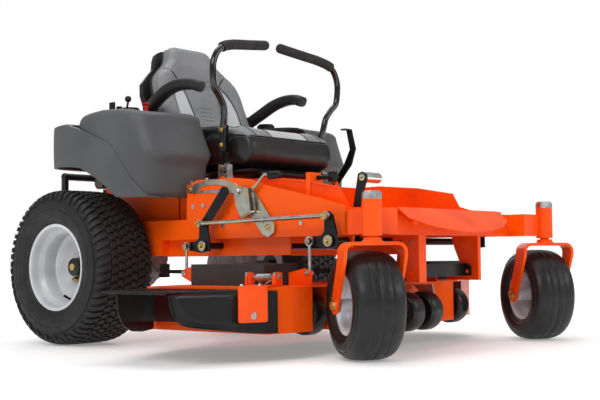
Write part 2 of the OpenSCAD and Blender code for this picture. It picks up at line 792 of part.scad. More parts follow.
module front_lift_shaft() color("#181818") place() {
    bar_x(-crank_x - 1, crank_x + 1, [lift_y[1], lift_z[1]], 12);
    pair() crank(1);
    plate(-306, -298, [[-1154, 350], [-1118, 350], [-1118, 420], [-1150, 580], [-1166, 586], [-1182, 578],
        [-1184, 560], [-1160, 500], [-1150, 440], [-1150, 400]]);
    bar_x(-300, -221, [-1167, 568], 16.5);
}

module lift_rod() {
    x = crank_x + 22;
    y = [for (i = [0, 1]) lift_y[i] + lift_up[0]];
    z = [for (i = [0, 1]) lift_z[i] + lift_up[1]];
    difference() {
        union() {
            rod([x, y[0] - 9, z[0]], [x, y[1] + 9, z[1]], 7);
            bar_x(x - 8, x + 8, [y[0], z[0]], 13);
            bar_x(x - 8, x + 8, [y[1], z[1]], 13);
        }
        bar_x(x - 20, x + 20, [y[0], z[0]], 6 + fit);
        bar_x(x - 20, x + 20, [y[1], z[1]], 6.4);
    }
}

module lift_rods() color("silver") place() pair() lift_rod();

module deck_hooks() color("silver") place() pair() for (i = [0, 1]) difference() {
    x0 = 445;
    y = lift_y[i] + lift_back;
    z = lift_z[i];
    union() {
        bar_x(x0, x0 + 8, [y, z], 16);
        bar_x(x0, x0 + 8, [y, hook_z], 13);
        bar_z(hook_z + 8, z - 12, [x0 + 4, y], 5);
    }
    bar_x(x0 - 1, x0 + 9, [y, z], 11.5);
    bar_x(x0 - 1, x0 + 9, [y, hook_z], 6 + fit);
}

// ---------------------------------------------------------------- hand controls

module brake_lever() color("#181818") place() {
    plate(303, 309, [[-572, 590], [-548, 592], [-546, 612], [-600, 674], [-634, 738], [-618, 812],
        [-642, 818], [-662, 738], [-640, 676], [-574, 604]]);
    box([266, -643, 812], [309, -618, 818]);
    bar_x(284, 309, brake_pivot, 6);
}

module star_knob() color("#141414") place() {
    bar_y(-1032, -940, [-300, 577], 8);
    translate([-300, -1030, 577]) rotate([90, 0, 0]) {
        cylinder(h = 20, r = 15);
        for (i = [0:5]) rotate([0, 0, i * 60]) translate([14, 0, 0]) cylinder(h = 20, r = 6);
    }
}

console_x = -480;

module throttle() color("#111111") place() {
    rod([console_x, -205, 856], [console_x, -216, 893], 4);
    translate([console_x, -216, 903]) sphere(r = 12);
    bar_x(console_x - 6, console_x + 6, [-200, 845], 10);
}

module choke_knob() color("#111111") place() {
    bar_z(840, 868, [console_x, -165], 4);
    bar_z(868 - eps, 880, [console_x, -165], 11);
}

module pto_knob() color("red") place() {
    bar_z(836, 869, [-450, -281], 7);
    translate([-450, -281, 869 - eps]) cylinder(h = 6, r1 = 10, r2 = 8);
    translate([-450, -281, 874]) cylinder(h = 6, r1 = 8, r2 = 16);
    bar_z(880 - eps, 884, [-450, -281], 16);
}

module ignition_key() color("#111111") place() {
    bar_z(850, 872, [console_x, -125], 9);
    box([console_x - 4, -138, 871], [console_x + 4, -112, 900]);
}

// ---------------------------------------------------------------- wheels

module half_ring(points) {
    rotate([0, 90, 0]) rotate_extrude($fn = 96) polygon(points);
}

module drive_tyre(side) color("#1b1b1b") place() translate([side * drive_x, 0, drive_r])
    half_ring(tyre_section(152, drive_r, drive_w / 2, 13, 26));

module caster_tyre(side) color("#1b1b1b") place() caster_at(side) translate([0, trail, caster_r])
    half_ring(tyre_section(82, caster_r, caster_w / 2, 12, 24));

// Open C section of a tyre: bead radius, tread radius, half width, wall, shoulder
function tyre_half(bead, r, half, wall, sh) = [
    [bead, half - 30], [bead + 6, half - 26], [bead + 16, half - 9],
    [bead + 30, half - 2], [bead + (r - bead) * 0.5, half], [r - sh, half - 4], [r - sh * 0.45, half - 13],
    [r - sh * 0.12, half - 28], [r, half - 48]];
function tyre_inner(bead, r, half, wall, sh) = [[r - wall, half - 50], [r - sh * 0.5 - wall, half - 30],
    [r - sh - wall, half - wall - 6], [bead + 30, half - wall - 6], [bead + 12, half - wall - 18],
    [bead, half - 46]];
function flip(points) = [for (i = [len(points) - 1:-1:0]) [points[i][0], -points[i][1]]];
function tyre_section(bead, r, half, wall, sh) = concat(tyre_half(bead, r, half, wall, sh),
    flip(tyre_half(bead, r, half, wall, sh)), flip(tyre_inner(bead, r, half, wall, sh)),
    tyre_inner(bead, r, half, wall, sh));

module rear_tyre_right() drive_tyre(-1);
module rear_tyre_left() drive_tyre(1);
module front_tyre_right() caster_tyre(-1);
module front_tyre_left() caster_tyre(1);

// Pressed rim: barrel with a drop centre and two flanges
module barrel(bead, half, drop, flange) half_ring([[flange, half - 21], [flange, half - 18],
    [bead - 6, half - 19], [bead - 5, half - 48], [drop - 5, half - 64], [drop - 5, -half + 64],
    [bead - 5, -half + 48], [bead - 6, -half + 19], [flange, -half + 18], [flange, -half + 21],
    [bead - 0.4, -half + 24], [bead - 0.4, -half + 46], [drop, -half + 62], [drop, half - 62],
    [bead - 0.4, half - 46], [bead - 0.4, half - 24]]);

module drive_rim(side) color("silver") place() translate([side * drive_x, 0, drive_r]) sided(side) {
    barrel(152, drive_w / 2, 132, 157);
    difference() {
        union() {
            half_ring([[30, -20], [84, -20], [128, 10], [128, 16], [82, -14], [30, -14]]);
            bar_x(-60, 34, [0, 0], 36);
            bar_x(-213, 36, [0, 0], 17);
            for (i = [0:4])
                bar_x(-14.01, 2, [58 * cos(90 + 72 * i), 58 * sin(90 + 72 * i)], 11);
        }
        bar_x(28, 40, [0, 0], 9);
    }
}

module rear_rim_right() drive_rim(-1);
module rear_rim_left() drive_rim(1);

module caster_rim(side) color("silver") place() caster_at(side) translate([0, trail, caster_r]) {
    barrel(82, caster_w / 2, 66, 90);
    difference() {
        union() {
            half_ring([[20, -3], [62, -3], [62, 3], [20, 3]]);
            bar_x(-84, 84, [0, 0], 21);
        }
        bar_x(-90, 90, [0, 0], 8 + fit);
    }
}

module front_rim_right() caster_rim(-1);
module front_rim_left() caster_rim(1);

module fork(side) color("orangered") place() caster_at(side) {
    gap = 90;
    wall = 10;
    arm = [[-32, 352], [32, 352], [34, 300], [96, 168], [90, 146], [70, 139], [50, 146], [-4, 250],
        [-32, 310]];
    pair() difference() {
        plate(gap, gap + wall, arm);
        bar_x(80, 110, [trail, caster_r], 7.9);
    }
    box([-gap - wall, -32, 344], [gap + wall, 32, 354]);
    bar_z(353, 366, [0, 0], 27);
    bar_z(350, 478, [0, 0], 16 - fit);
    bar_x(-gap - wall - 4, gap + wall + 4, [trail, caster_r], 8);
    for (x = [-gap - wall - 9, gap + wall])
        hex_bolt(x, [trail, caster_r], 14, 9);
}

module fork_right() fork(-1);
module fork_left() fork(1);

main_frame();
front_axle_beam();
footwell_pan();
deck_hangers();
front_link();
rear_bumper();
fender_right();
fender_left();
fuel_cap_right();
fuel_cap_left();
engine_block();
blower_housing();
muffler();
transaxles();
caps_and_bolts();
height_quadrant();
height_arm();
height_pin();
seat_base();
seat_cushion();
seat_back();
seat_shell();
armrest_right();
armrest_left();
lever_base_right();
lever_base_left();
lever_right();
lever_left();
deck_shell();
deflector();
deck_fittings();
belt_covers();
blade_right();
blade_center();
blade_left();
deck_belt();
scalp_wheel_right();
scalp_wheel_mid_right();
scalp_wheel_mid_left();
scalp_wheel_left();
rear_lift_shaft();
front_lift_shaft();
lift_rods();
deck_hooks();
brake_lever();
star_knob();
throttle();
choke_knob();
pto_knob();
ignition_key();
rear_tyre_right();
rear_tyre_left();
rear_rim_right();
rear_rim_left();
front_tyre_right();
front_tyre_left();
front_rim_right();
front_rim_left();
fork_right();
fork_left();
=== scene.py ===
"""Looks of the zero turn mower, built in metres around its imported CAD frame."""
import json
from math import ceil, cos, pi, radians, sin, sqrt
import bpy
import bmesh
from mathutils import Matrix, Vector
from mathutils.bvhtree import BVHTree
from mathutils.kdtree import KDTree


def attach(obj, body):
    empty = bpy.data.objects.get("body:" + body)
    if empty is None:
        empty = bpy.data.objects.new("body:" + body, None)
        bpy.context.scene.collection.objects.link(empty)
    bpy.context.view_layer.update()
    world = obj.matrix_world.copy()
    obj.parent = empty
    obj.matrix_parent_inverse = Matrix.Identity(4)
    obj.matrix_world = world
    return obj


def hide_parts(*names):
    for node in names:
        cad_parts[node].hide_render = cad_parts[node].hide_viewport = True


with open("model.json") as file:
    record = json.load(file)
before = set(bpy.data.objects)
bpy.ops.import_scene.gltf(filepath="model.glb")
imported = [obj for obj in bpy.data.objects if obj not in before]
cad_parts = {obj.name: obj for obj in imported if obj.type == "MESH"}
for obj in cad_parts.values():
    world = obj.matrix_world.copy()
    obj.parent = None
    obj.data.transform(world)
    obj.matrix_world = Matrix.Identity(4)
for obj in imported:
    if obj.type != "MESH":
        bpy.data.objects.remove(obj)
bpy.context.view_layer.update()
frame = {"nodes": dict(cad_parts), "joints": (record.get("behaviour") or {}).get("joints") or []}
joints = {j["name"]: j for j in frame["joints"]}
right_hub = joints["rear_wheel_right_spin"]["pos_m"]
left_hub = joints["rear_wheel_left_spin"]["pos_m"]
# Everything below is written in millimetres from the middle of the rear axle, on the ground.
ORIGIN = Vector(((right_hub[0] + left_hub[0]) / 2, right_hub[1], 0))
MM = 0.001


def at(p):
    """Work millimetres to the frame's metres."""
    return Vector(p) * MM + ORIGIN


# ---------------------------------------------------------------- materials

def srgb(r, g, b):
    """A display colour as the linear colour that a socket takes."""
    return tuple(((c / 255 + 0.055) / 1.055) ** 2.4 if c > 10 else c / 255 / 12.92 for c in (r, g, b)) + (1,)


class Mat:
    """A node material with a Principled shader at its end."""

    def __init__(self, name, metallic=0.0, rough=0.5, **constants):
        self.mat = bpy.data.materials.new(name)
        self.mat.use_nodes = True
        self.tree = self.mat.node_tree
        self.tree.nodes.clear()
        out = self.tree.nodes.new("ShaderNodeOutputMaterial")
        self.shader = self.tree.nodes.new("ShaderNodeBsdfPrincipled")
        self.tree.links.new(self.shader.outputs[0], out.inputs[0])
        self.set("Metallic", metallic)
        self.set("Roughness", rough)
        for key, value in constants.items():
            self.set(key.replace("_", " "), value)
        self.coords = self.tree.nodes.new("ShaderNodeTexCoord")

    def set(self, socket, value):
        self.shader.inputs[socket].default_value = value

    def node(self, kind, **values):
        n = self.tree.nodes.new(kind)
        for key, value in values.items():
            if key in n.inputs:
                n.inputs[key].default_value = value
            else:
                setattr(n, key, value)
        return n

    def link(self, a, b):
        self.tree.links.new(a, b)

    def noise(self, scale, detail=3.0, stretch=None, roughness=0.5):
        n = self.node("ShaderNodeTexNoise", Scale=scale, Detail=detail, Roughness=roughness)
        source = self.coords.outputs["Object"]
        if stretch:
            mapping = self.node("ShaderNodeMapping")
            mapping.inputs["Scale"].default_value = stretch
            self.link(source, mapping.inputs["Vector"])
            source = mapping.outputs[0]
        self.link(source, n.inputs["Vector"])
        return n.outputs["Fac"]

    def cells(self, scale, feature="DISTANCE_TO_EDGE"):
        n = self.node("ShaderNodeTexVoronoi", Scale=scale, feature=feature)
        self.link(self.coords.outputs["Object"], n.inputs["Vector"])
        return n.outputs["Distance"]

    def ramp(self, factor, stops):
        n = self.node("ShaderNodeValToRGB")
        ramp = n.color_ramp
        ramp.elements[0].position, ramp.elements[0].color = stops[0]
        ramp.elements[1].position, ramp.elements[1].color = stops[-1]
        for position, colour in stops[1:-1]:
            ramp.elements.new(position).color = colour
        self.link(factor, n.inputs["Fac"])
        return n.outputs["Color"]

    def colour(self, factor, stops):
        self.link(self.ramp(factor, stops), self.shader.inputs["Base Color"])

    def blend(self, factor, a, b, mode="MIX"):
        n = self.node("ShaderNodeMix", data_type="RGBA", blend_type=mode)
        self.link(factor, n.inputs[0])
        for socket, value in ((n.inputs[6], a), (n.inputs[7], b)):
            if isinstance(value, tuple):
                socket.default_value = value
            else:
                self.link(value, socket)
        return n.outputs[2]

    def roughness(self, factor, low, high):
        n = self.node("ShaderNodeMapRange")
        n.inputs["From Min"].default_value = 0.3
        n.inputs["From Max"].default_value = 0.7
        n.inputs["To Min"].default_value = low
        n.inputs["To Max"].default_value = high
        self.link(factor, n.inputs["Value"])
        self.link(n.outputs["Result"], self.shader.inputs["Roughness"])

    def bump(self, height, strength, distance=0.001, before=None):
        n = self.node("ShaderNodeBump", Strength=strength, Distance=distance)
        self.link(height, n.inputs["Height"])
        if before:
            self.link(before, n.inputs["Normal"])
        self.link(n.outputs[0], self.shader.inputs["Normal"])
        return n.outputs[0]

    def edges(self):
        """Brighter where the surface turns outwards, for wear."""
        n = self.node("ShaderNodeNewGeometry")
        return self.ramp(n.outputs["Pointiness"], [(0.52, (0, 0, 0, 1)), (0.6, (1, 1, 1, 1))])


def grey(v):
    return srgb(v, v, v)


def powder_coat(name, low, mid, high, rough=0.3, coat=0.25, hollow=None):
    """hollow is (middle, ceiling, colour) of a shell whose inner faces below the ceiling get that darker
    colour as painted shade.
    """
    m = Mat(name, 0.0, rough, Coat_Weight=coat, Coat_Roughness=0.12, Specular_IOR_Level=0.22)
    base = m.ramp(m.noise(7, 4), [(0.3, low), (0.5, mid), (0.75, high)])
    worn = m.blend(m.edges(), base, high)
    dust = m.ramp(m.noise(38, 6, roughness=0.7), [(0.62, (0, 0, 0, 1)), (0.9, (0.25, 0.25, 0.25, 1))])
    colour = m.blend(dust, worn, low)
    # painted shade: faces of the shell that turn inwards, below the ceiling, take the dark colour in place of
    # the shade inside it
    if hollow:
        middle, ceiling, inner = hollow
        inward = m.node("ShaderNodeVectorMath", operation="SUBTRACT")
        inward.inputs[0].default_value = (middle.x, middle.y, -1.5)
        flat = m.node("ShaderNodeVectorMath", operation="MULTIPLY")
        flat.inputs[1].default_value = (1, 1, 0)
        m.link(m.coords.outputs["Object"], flat.inputs[0])
        m.link(flat.outputs[0], inward.inputs[1])
        facing = m.node("ShaderNodeVectorMath", operation="DOT_PRODUCT")
        m.link(m.node("ShaderNodeNewGeometry").outputs["Normal"], facing.inputs[0])
        m.link(inward.outputs[0], facing.inputs[1])
        turned = m.node("ShaderNodeMath", operation="GREATER_THAN")
        turned.inputs[1].default_value = 0.0
        m.link(facing.outputs["Value"], turned.inputs[0])
        axes = m.node("ShaderNodeSeparateXYZ")
        m.link(m.coords.outputs["Object"], axes.inputs[0])
        below = m.node("ShaderNodeMath", operation="LESS_THAN")
        below.inputs[1].default_value = ceiling
        m.link(axes.outputs["Z"], below.inputs[0])
        inner_shade_mask = m.node("ShaderNodeMath", operation="MULTIPLY")
        m.link(turned.outputs[0], inner_shade_mask.inputs[0])
        m.link(below.outputs[0], inner_shade_mask.inputs[1])
        colour = m.blend(inner_shade_mask.outputs[0], colour, inner)
    m.link(colour, m.shader.inputs["Base Color"])
    m.roughness(m.noise(20, 3), rough - 0.05, rough + 0.09)
    m.bump(m.noise(900, 2), 0.12, 0.0004)
    return m.mat


def moulded(name, low, high, rough=0.45, grain=700, depth=0.25):
    m = Mat(name, 0.0, rough, Specular_IOR_Level=0.28)
    base = m.ramp(m.noise(5, 4), [(0.3, low), (0.7, high)])
    speck = m.ramp(m.noise(300, 2), [(0.4, (0.92, 0.92, 0.92, 1)), (0.6, (1, 1, 1, 1))])
    m.link(m.blend(speck, low, base), m.shader.inputs["Base Color"])
    m.roughness(m.noise(15, 4), rough - 0.05, rough + 0.08)
    m.bump(m.noise(grain, 3, roughness=0.6), depth, 0.0004)
    return m.mat


def vinyl(name, low, high, rough=0.42):
    m = Mat(name, 0.0, rough, Specular_IOR_Level=0.45)
    base = m.ramp(m.noise(9, 5), [(0.3, low), (0.7, high)])
    pores = m.ramp(m.cells(420), [(0.0, (0, 0, 0, 1)), (0.09, (1, 1, 1, 1))])
    m.link(m.blend(pores, low, base), m.shader.inputs["Base Color"])
    m.roughness(m.noise(25, 4), rough - 0.07, rough + 0.1)
    first = m.bump(m.cells(420), 0.35, 0.0006)
    m.bump(m.noise(60, 5), 0.12, 0.001, first)
    return m.mat


def rubber(name, low, high, rough=0.55, grain=350):
    m = Mat(name, 0.0, rough, Specular_IOR_Level=0.4)
    base = m.ramp(m.noise(12, 6, roughness=0.65), [(0.3, low), (0.72, high)])
    m.link(m.blend(m.edges(), base, high), m.shader.inputs["Base Color"])
    m.roughness(m.noise(30, 5), rough - 0.08, rough + 0.14)
    m.bump(m.noise(grain, 4), 0.18, 0.0005)
    return m.mat


def metal(name, low, high, rough=0.3, scale=25, tint=None, brushed=None, bump=0.08):
    m = Mat(name, 1.0, rough)
    base = m.ramp(m.noise(scale, 5, roughness=0.6), [(0.3, low), (0.7, high)])
    if tint:
        spots = m.ramp(m.noise(14, 4), [(0.42, (0, 0, 0, 1)), (0.68, (1, 1, 1, 1))])
        base = m.blend(spots, base, tint)
    m.link(base, m.shader.inputs["Base Color"])
    m.roughness(m.noise(scale * 2, 4), rough - 0.08, rough + 0.14)
    m.bump(m.noise(260, 3, brushed or (1, 1, 1)), bump, 0.0004)
    return m.mat


ORANGE = powder_coat("orange_powder_coat", srgb(232, 66, 0), srgb(248, 76, 0), srgb(255, 92, 4), 0.33, 0.1)
# orange deck paint with painted shade: the shell's inner faces under its top are dark red for the shade
# inside the deck
DECK_PAINT_AND_SHADE = powder_coat("deck_paint_and_painted_shade", srgb(232, 66, 0), srgb(248, 76, 0), srgb(255, 92, 4), 0.33, 0.1,
                         (at((-80, -860, 0)), 0.2205, srgb(84, 14, 6)))
HOOD = moulded("hood_plastic", grey(11), grey(17), 0.36, 420, 0.2)
BLACK_PAINT = powder_coat("black_powder_coat", grey(9), grey(13), grey(30), 0.32, 0.15)
GLOSS_BLACK = powder_coat("gloss_black_tube", grey(6), grey(9), grey(22), 0.14, 0.8)
FENDER = moulded("fender_plastic", srgb(74, 75, 77), srgb(86, 87, 89), 0.42, 520, 0.22)
CONSOLE = moulded("console_plastic", grey(24), grey(34), 0.4, 600, 0.2)
BLACK_PLASTIC = moulded("black_plastic", grey(11), grey(18), 0.34, 500, 0.25)
COVER = moulded("belt_cover_plastic", grey(42), grey(56), 0.5, 450, 0.4)
RED_PLASTIC = moulded("red_plastic", srgb(188, 12, 16), srgb(216, 26, 24), 0.3, 500, 0.15)
ZINC = metal("zinc_plate", srgb(150, 156, 158), srgb(206, 208, 206), 0.32, 30, srgb(196, 188, 150))
GOLD = metal("yellow_zinc", srgb(178, 150, 82), srgb(226, 204, 140), 0.3, 60)
CHROME = metal("chrome", grey(205), grey(235), 0.14, 20, None, (1, 1, 8), 0.03)
STEEL = metal("bare_steel", grey(110), grey(165), 0.38, 40)
BLADE = powder_coat("blade_paint", grey(20), grey(30), grey(90), 0.45, 0.0)
CAST = metal("cast_aluminium", grey(120), grey(160), 0.52, 60, None, None, 0.5)
RIM = powder_coat("silver_rim_paint", srgb(176, 178, 182), srgb(196, 198, 202), srgb(216, 218, 222), 0.3,
                  0.35)
ENGINE = powder_coat("engine_black", grey(14), grey(24), grey(48), 0.45, 0.1)
HOT = metal("heat_stained_steel", srgb(70, 62, 56), srgb(122, 112, 100), 0.5, 30, srgb(96, 72, 52))
TYRE = rubber("tyre_rubber", grey(18), grey(36), 0.6)
SLICK = rubber("caster_rubber", grey(13), grey(26), 0.4, 500)
BELT = rubber("belt_rubber", grey(14), grey(26), 0.7)
ROLLER = rubber("roller_rubber", grey(14), grey(28), 0.28)
FOAM = rubber("grip_foam", grey(26), grey(44), 0.72, 800)
SEAT_MID = vinyl("seat_mid_grey", srgb(112, 113, 115), srgb(134, 135, 137))
SEAT_LIGHT = vinyl("seat_light_grey", srgb(172, 173, 175), srgb(196, 197, 199))
SEAT_BLACK = vinyl("seat_black_vinyl", grey(16), grey(27), 0.38)
ARM_VINYL = vinyl("armrest_vinyl", grey(18), grey(32), 0.5)
PIPING = vinyl("piping_vinyl", grey(12), grey(20), 0.35)
THREAD = vinyl("seam_thread", grey(120), grey(150), 0.6)


# ---------------------------------------------------------------- mesh builders

def grid(rows, wrap_rows=False, wrap_points=False):
    """Quads between neighbouring rows of points."""
    n, m = len(rows), len(rows[0])
    verts = [p for row in rows for p in row]
    faces = []
    for i in range(n if wrap_rows else n - 1):
        for j in range(m if wrap_points else m - 1):
            a, b = i * m + j, i * m + (j + 1) % m
            c, d = ((i + 1) % n) * m + (j + 1) % m, ((i + 1) % n) * m + j
            faces.append((a, b, c, d))
    return verts, faces


def ends(rows):
    """The two end faces of a stack of rings."""
    m = len(rows[0])
    return [tuple(reversed(range(m))), tuple(range((len(rows) - 1) * m, len(rows) * m))]


def loft(rows):
    """Closes a stack of rings into one solid."""
    verts, faces = grid(rows, False, True)
    return verts, faces + ends(rows)


def basis(d):
    """Two directions across d, and d itself, all of unit length."""
    d = Vector(d).normalized()
    u = d.cross(Vector((0, 0, 1)))
    if u.length < 0.1:
        u = Vector((1, 0, 0))
    u.normalize()
    return u, d.cross(u).normalized(), d


def lathe(centre, direction, rings, sides=32, phase=0.0, closed=False):
    """Rings of (radius, distance along the axis). closed joins the last ring to the first."""
    u, v, d = basis(direction)
    c = Vector(centre)
    rows = [[c + d * a + (u * cos(phase + 2 * pi * k / sides) + v * sin(phase + 2 * pi * k / sides)) * r
             for k in range(sides)] for r, a in rings]
    verts, faces = grid(rows, closed, True)
    return verts, faces if closed else faces + ends(rows)


def spline(points, steps):
    """A smooth curve through the points, with that many steps between each two."""
    points = [Vector(p) for p in points]
    out = []
    for i in range(len(points) - 1):
        p0 = points[max(i - 1, 0)]
        p1, p2 = points[i], points[i + 1]
        p3 = points[min(i + 2, len(points) - 1)]
        for k in range(steps):
            t = k / steps
            out.append(0.5 * (2 * p1 + (p2 - p0) * t + (2 * p0 - 5 * p1 + 4 * p2 - p3) * t * t
                              + (3 * p1 - p0 - 3 * p2 + p3) * t ** 3))
    out.append(points[-1])
    return out


def sweep(path, section, cap=True, closed=False, up=None):
    """Carries a section of (across, above) points along a path; section may be a function of 0..1."""
    path = [Vector(p) for p in path]
    n = len(path)
    rows = []
    u = None
    for i, p in enumerate(path):
        if closed:
            d = (path[(i + 1) % n] - path[i - 1]).normalized()
        else:
            d = (path[min(i + 1, n - 1)] - path[max(i - 1, 0)]).normalized()
        if up is not None:
            u = d.cross(Vector(up)).normalized()
        elif u is None:
            u = basis(d)[0]
        else:
            u = (u - d * u.dot(d)).normalized()
        v = u.cross(d)
        shape = section(i / (n - 1)) if callable(section) else section
        rows.append([p + u * a + v * b for a, b in shape])
    verts, faces = grid(rows, closed, True)
    return verts, faces + ends(rows) if cap and not closed else faces


def circle(r, sides=16):
    return [(r * cos(2 * pi * k / sides), r * sin(2 * pi * k / sides)) for k in range(sides)]


def tube(path, r, sides=16, closed=False):
    """A round bar with slightly rounded ends."""
    if closed:
        return sweep(path, circle(r, sides), False, True)
    path = [Vector(p) for p in path]
    lead = (path[1] - path[0]).normalized()
    tail = (path[-1] - path[-2]).normalized()
    soft = min(r * 0.3, (path[1] - path[0]).length * 0.4, (path[-1] - path[-2]).length * 0.4)
    path = [path[0], path[0] + lead * soft] + path[1:-1] + [path[-1] - tail * soft, path[-1]]
    n = len(path) - 1
    return sweep(path, lambda t: circle(r * (0.8 if t < 0.5 / n or t > 1 - 0.5 / n else 1), sides))


def prism(outline, place, low, high):
    """A polygon pushed from low to high; place(u, v, w) gives the point."""
    n = len(outline)
    verts = [place(u, v, low) for u, v in outline] + [place(u, v, high) for u, v in outline]
    faces = [tuple(reversed(range(n))), tuple(range(n, 2 * n))]
    faces += [(k, (k + 1) % n, n + (k + 1) % n, n + k) for k in range(n)]
    return verts, faces


def rounded(points, r, steps=4):
    """A polygon whose corners are rounded to r."""
    out = []
    n = len(points)
    for i in range(n):
        p = Vector(points[i])
        a = Vector(points[i - 1]) - p
        b = Vector(points[(i + 1) % n]) - p
        k = min(r, a.length * 0.45, b.length * 0.45)
        a, b = p + a.normalized() * k, p + b.normalized() * k
        for s in range(steps + 1):
            t = s / steps
            q = a * (1 - t) ** 2 + p * 2 * t * (1 - t) + b * t * t
            out.append((q.x, q.y))
    return out


class Build:
    """Collects shapes, each with a material, into one piece."""

    def __init__(self):
        self.verts, self.faces, self.which, self.mats = [], [], [], []

    def add(self, shape, material):
        verts, faces = shape
        if material not in self.mats:
            self.mats.append(material)
        k = self.mats.index(material)
        base = len(self.verts)
        self.verts += [tuple(p) for p in verts]
        self.faces += [tuple(base + i for i in f) for f in faces]
        self.which += [k] * len(faces)
        return self

    def bolt(self, p, d, r, h, material, washer=1.6):
        """Hexagon head with a chamfer, on a washer."""
        p, d = Vector(p), Vector(d).normalized()
        if washer:
            self.add(lathe(p, d, [(r * washer * 0.96, 0), (r * washer, 0.4), (r * washer, 1.4),
                                  (r * washer * 0.94, 1.8)], 24), material)
            p = p + d * 1.8
        self.add(lathe(p, d, [(r * 0.97, 0), (r, 0.5), (r, h - 1.2), (r * 0.86, h)], 6), material)
        self.add(lathe(p + d * (h - 0.1), d, [(r * 0.45, 0), (r * 0.42, 0.5)], 12), material)
        return self

    def make(self, name, body, slot, angle=32, smooth=True):
        me = bpy.data.meshes.new(name)
        me.from_pydata([at(v) for v in self.verts], [], self.faces)
        for m in self.mats:
            me.materials.append(m)
        me.polygons.foreach_set("material_index", self.which)
        bm = bmesh.new()
        bm.from_mesh(me)
        bmesh.ops.remove_doubles(bm, verts=bm.verts, dist=2e-6)
        bmesh.ops.dissolve_degenerate(bm, edges=bm.edges, dist=2e-6)
        bmesh.ops.recalc_face_normals(bm, faces=bm.faces)
        bm.to_mesh(me)
        bm.free()
        if smooth:
            me.polygons.foreach_set("use_smooth", [True] * len(me.polygons))
            me.set_sharp_from_angle(angle=radians(angle))
        ob = bpy.data.objects.new(name, me)
        bpy.context.scene.collection.objects.link(ob)
        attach(ob, body)
        return ob


def single(name, shape, material, body, slot, angle=32):
    return Build().add(shape, material).make(name, body, slot, angle)


def bevel(ob, width, segments=2, angle=32):
    m = ob.modifiers.new("soft edges", "BEVEL")
    m.width = width * MM
    m.segments = segments
    m.limit_method = "ANGLE"
    m.angle_limit = radians(angle)
    m.harden_normals = True
    m.miter_outer = "MITER_ARC"
    return ob


def solidify(ob, thickness, offset=-1):
    m = ob.modifiers.new("wall", "SOLIDIFY")
    m.thickness = thickness * MM
    m.offset = offset
    return ob


def subdivide(ob, levels=1):
    m = ob.modifiers.new("fair", "SUBSURF")
    m.levels = m.render_levels = levels
    return ob


def clamp(v, low, high):
    return max(low, min(high, v))


def lerp(a, b, t):
    return a + (b - a) * t


def along(points, x):
    """Piecewise linear value at x."""
    points = sorted(points)
    if x <= points[0][0]:
        return points[0][1]
    for (x0, y0), (x1, y1) in zip(points, points[1:]):
        if x <= x1:
            return lerp(y0, y1, (x - x0) / (x1 - x0))
    return points[-1][1]


SIDES = {"right": -1, "left": 1}

# ---------------------------------------------------------------- camera, light and floor

EYE, LENS = (-3135.5, -3365.7, 304.8), 66.61
YAW, PITCH, ROLL = radians(48.93), radians(3.06), radians(-0.68)

cam = bpy.data.cameras.new("camera")
cam.sensor_width = 36
cam.lens = LENS
cam.clip_end = 60
cam_ob = bpy.data.objects.new("camera", cam)
bpy.context.scene.collection.objects.link(cam_ob)
forward = Vector((sin(YAW) * cos(PITCH), cos(YAW) * cos(PITCH), sin(PITCH)))
level_r = Vector((cos(YAW), -sin(YAW), 0))
level_u = level_r.cross(forward)
tilt_r = level_r * cos(ROLL) + level_u * sin(ROLL)
tilt_u = level_u * cos(ROLL) - level_r * sin(ROLL)
cam_ob.matrix_world = Matrix.Translation(at(EYE)) @ Matrix((tilt_r, tilt_u, -forward)).transposed().to_4x4()
bpy.context.scene.camera = cam_ob


def lamp(name, place, target, size, power, colour=(1, 1, 1)):
    data = bpy.data.lights.new(name, "AREA")
    data.shape = "RECTANGLE"
    data.size, data.size_y = size
    data.energy = power
    data.color = colour
    ob = bpy.data.objects.new(name, data)
    bpy.context.scene.collection.objects.link(ob)
    ob.location = place
    ob.rotation_euler = (Vector(target) - Vector(place)).to_track_quat("-Z", "Y").to_euler()


lamp("key", (-3.8, -1.6, 3.4), (0, 0, 0.5), (2.4, 1.8), 95)
lamp("front", (1.6, -4.6, 2.6), (0, -0.4, 0.4), (2.6, 1.6), 45)
lamp("top", (0.3, 0.4, 4.6), (0, 0, 0.4), (3.6, 3.6), 95)
lamp("back", (3.2, 3.6, 2.6), (0, 0, 0.6), (3.0, 2.0), 45)

world = bpy.data.worlds.new("studio")
bpy.context.scene.world = world
world.use_nodes = True
sky = world.node_tree
sky.nodes["Background"].inputs[0].default_value = (1, 1, 1, 1)
# the backdrop is white to the eye, and lights the machine more softly
seen = sky.nodes.new("ShaderNodeLightPath")
level = sky.nodes.new("ShaderNodeMapRange")
level.inputs["To Min"].default_value = 0.42
level.inputs["To Max"].default_value = 1.0
sky.links.new(seen.outputs["Is Camera Ray"], level.inputs["Value"])
sky.links.new(level.outputs["Result"], sky.nodes["Background"].inputs[1])
bpy.context.scene.view_settings.view_transform = "Standard"


def floor():
    half, lift = 30000, -0.5
    shape = grid([[(-half, -half, lift), (half, -half, lift)], [(-half, half, lift), (half, half, lift)]])
    me = bpy.data.meshes.new("floor")
    me.from_pydata([at(v) for v in shape[0]], [], shape[1])
    m = Mat("floor_white", 0.0, 0.55)
    m.colour(m.noise(0.8, 2), [(0.3, grey(236)), (0.7, grey(240))])
    m.set("Emission Color", (1, 1, 1, 1))
    # the paper sweep is lit more evenly than the lamps here can, far from the machine
    distance = m.node("ShaderNodeVectorMath", operation="LENGTH")
    m.link(m.coords.outputs["Object"], distance.inputs[0])
    far = m.node("ShaderNodeMapRange", interpolation_type="SMOOTHSTEP")
    for socket, value in (("From Min", 1.0), ("From Max", 5.0), ("To Min", 0.26), ("To Max", 1.0)):
        far.inputs[socket].default_value = value
    m.link(distance.outputs["Value"], far.inputs["Value"])
    m.link(far.outputs["Result"], m.shader.inputs["Emission Strength"])
    me.materials.append(m.mat)
    ob = bpy.data.objects.new("floor", me)
    bpy.context.scene.collection.objects.link(ob)


floor()

# ---------------------------------------------------------------- CAD nodes that stay

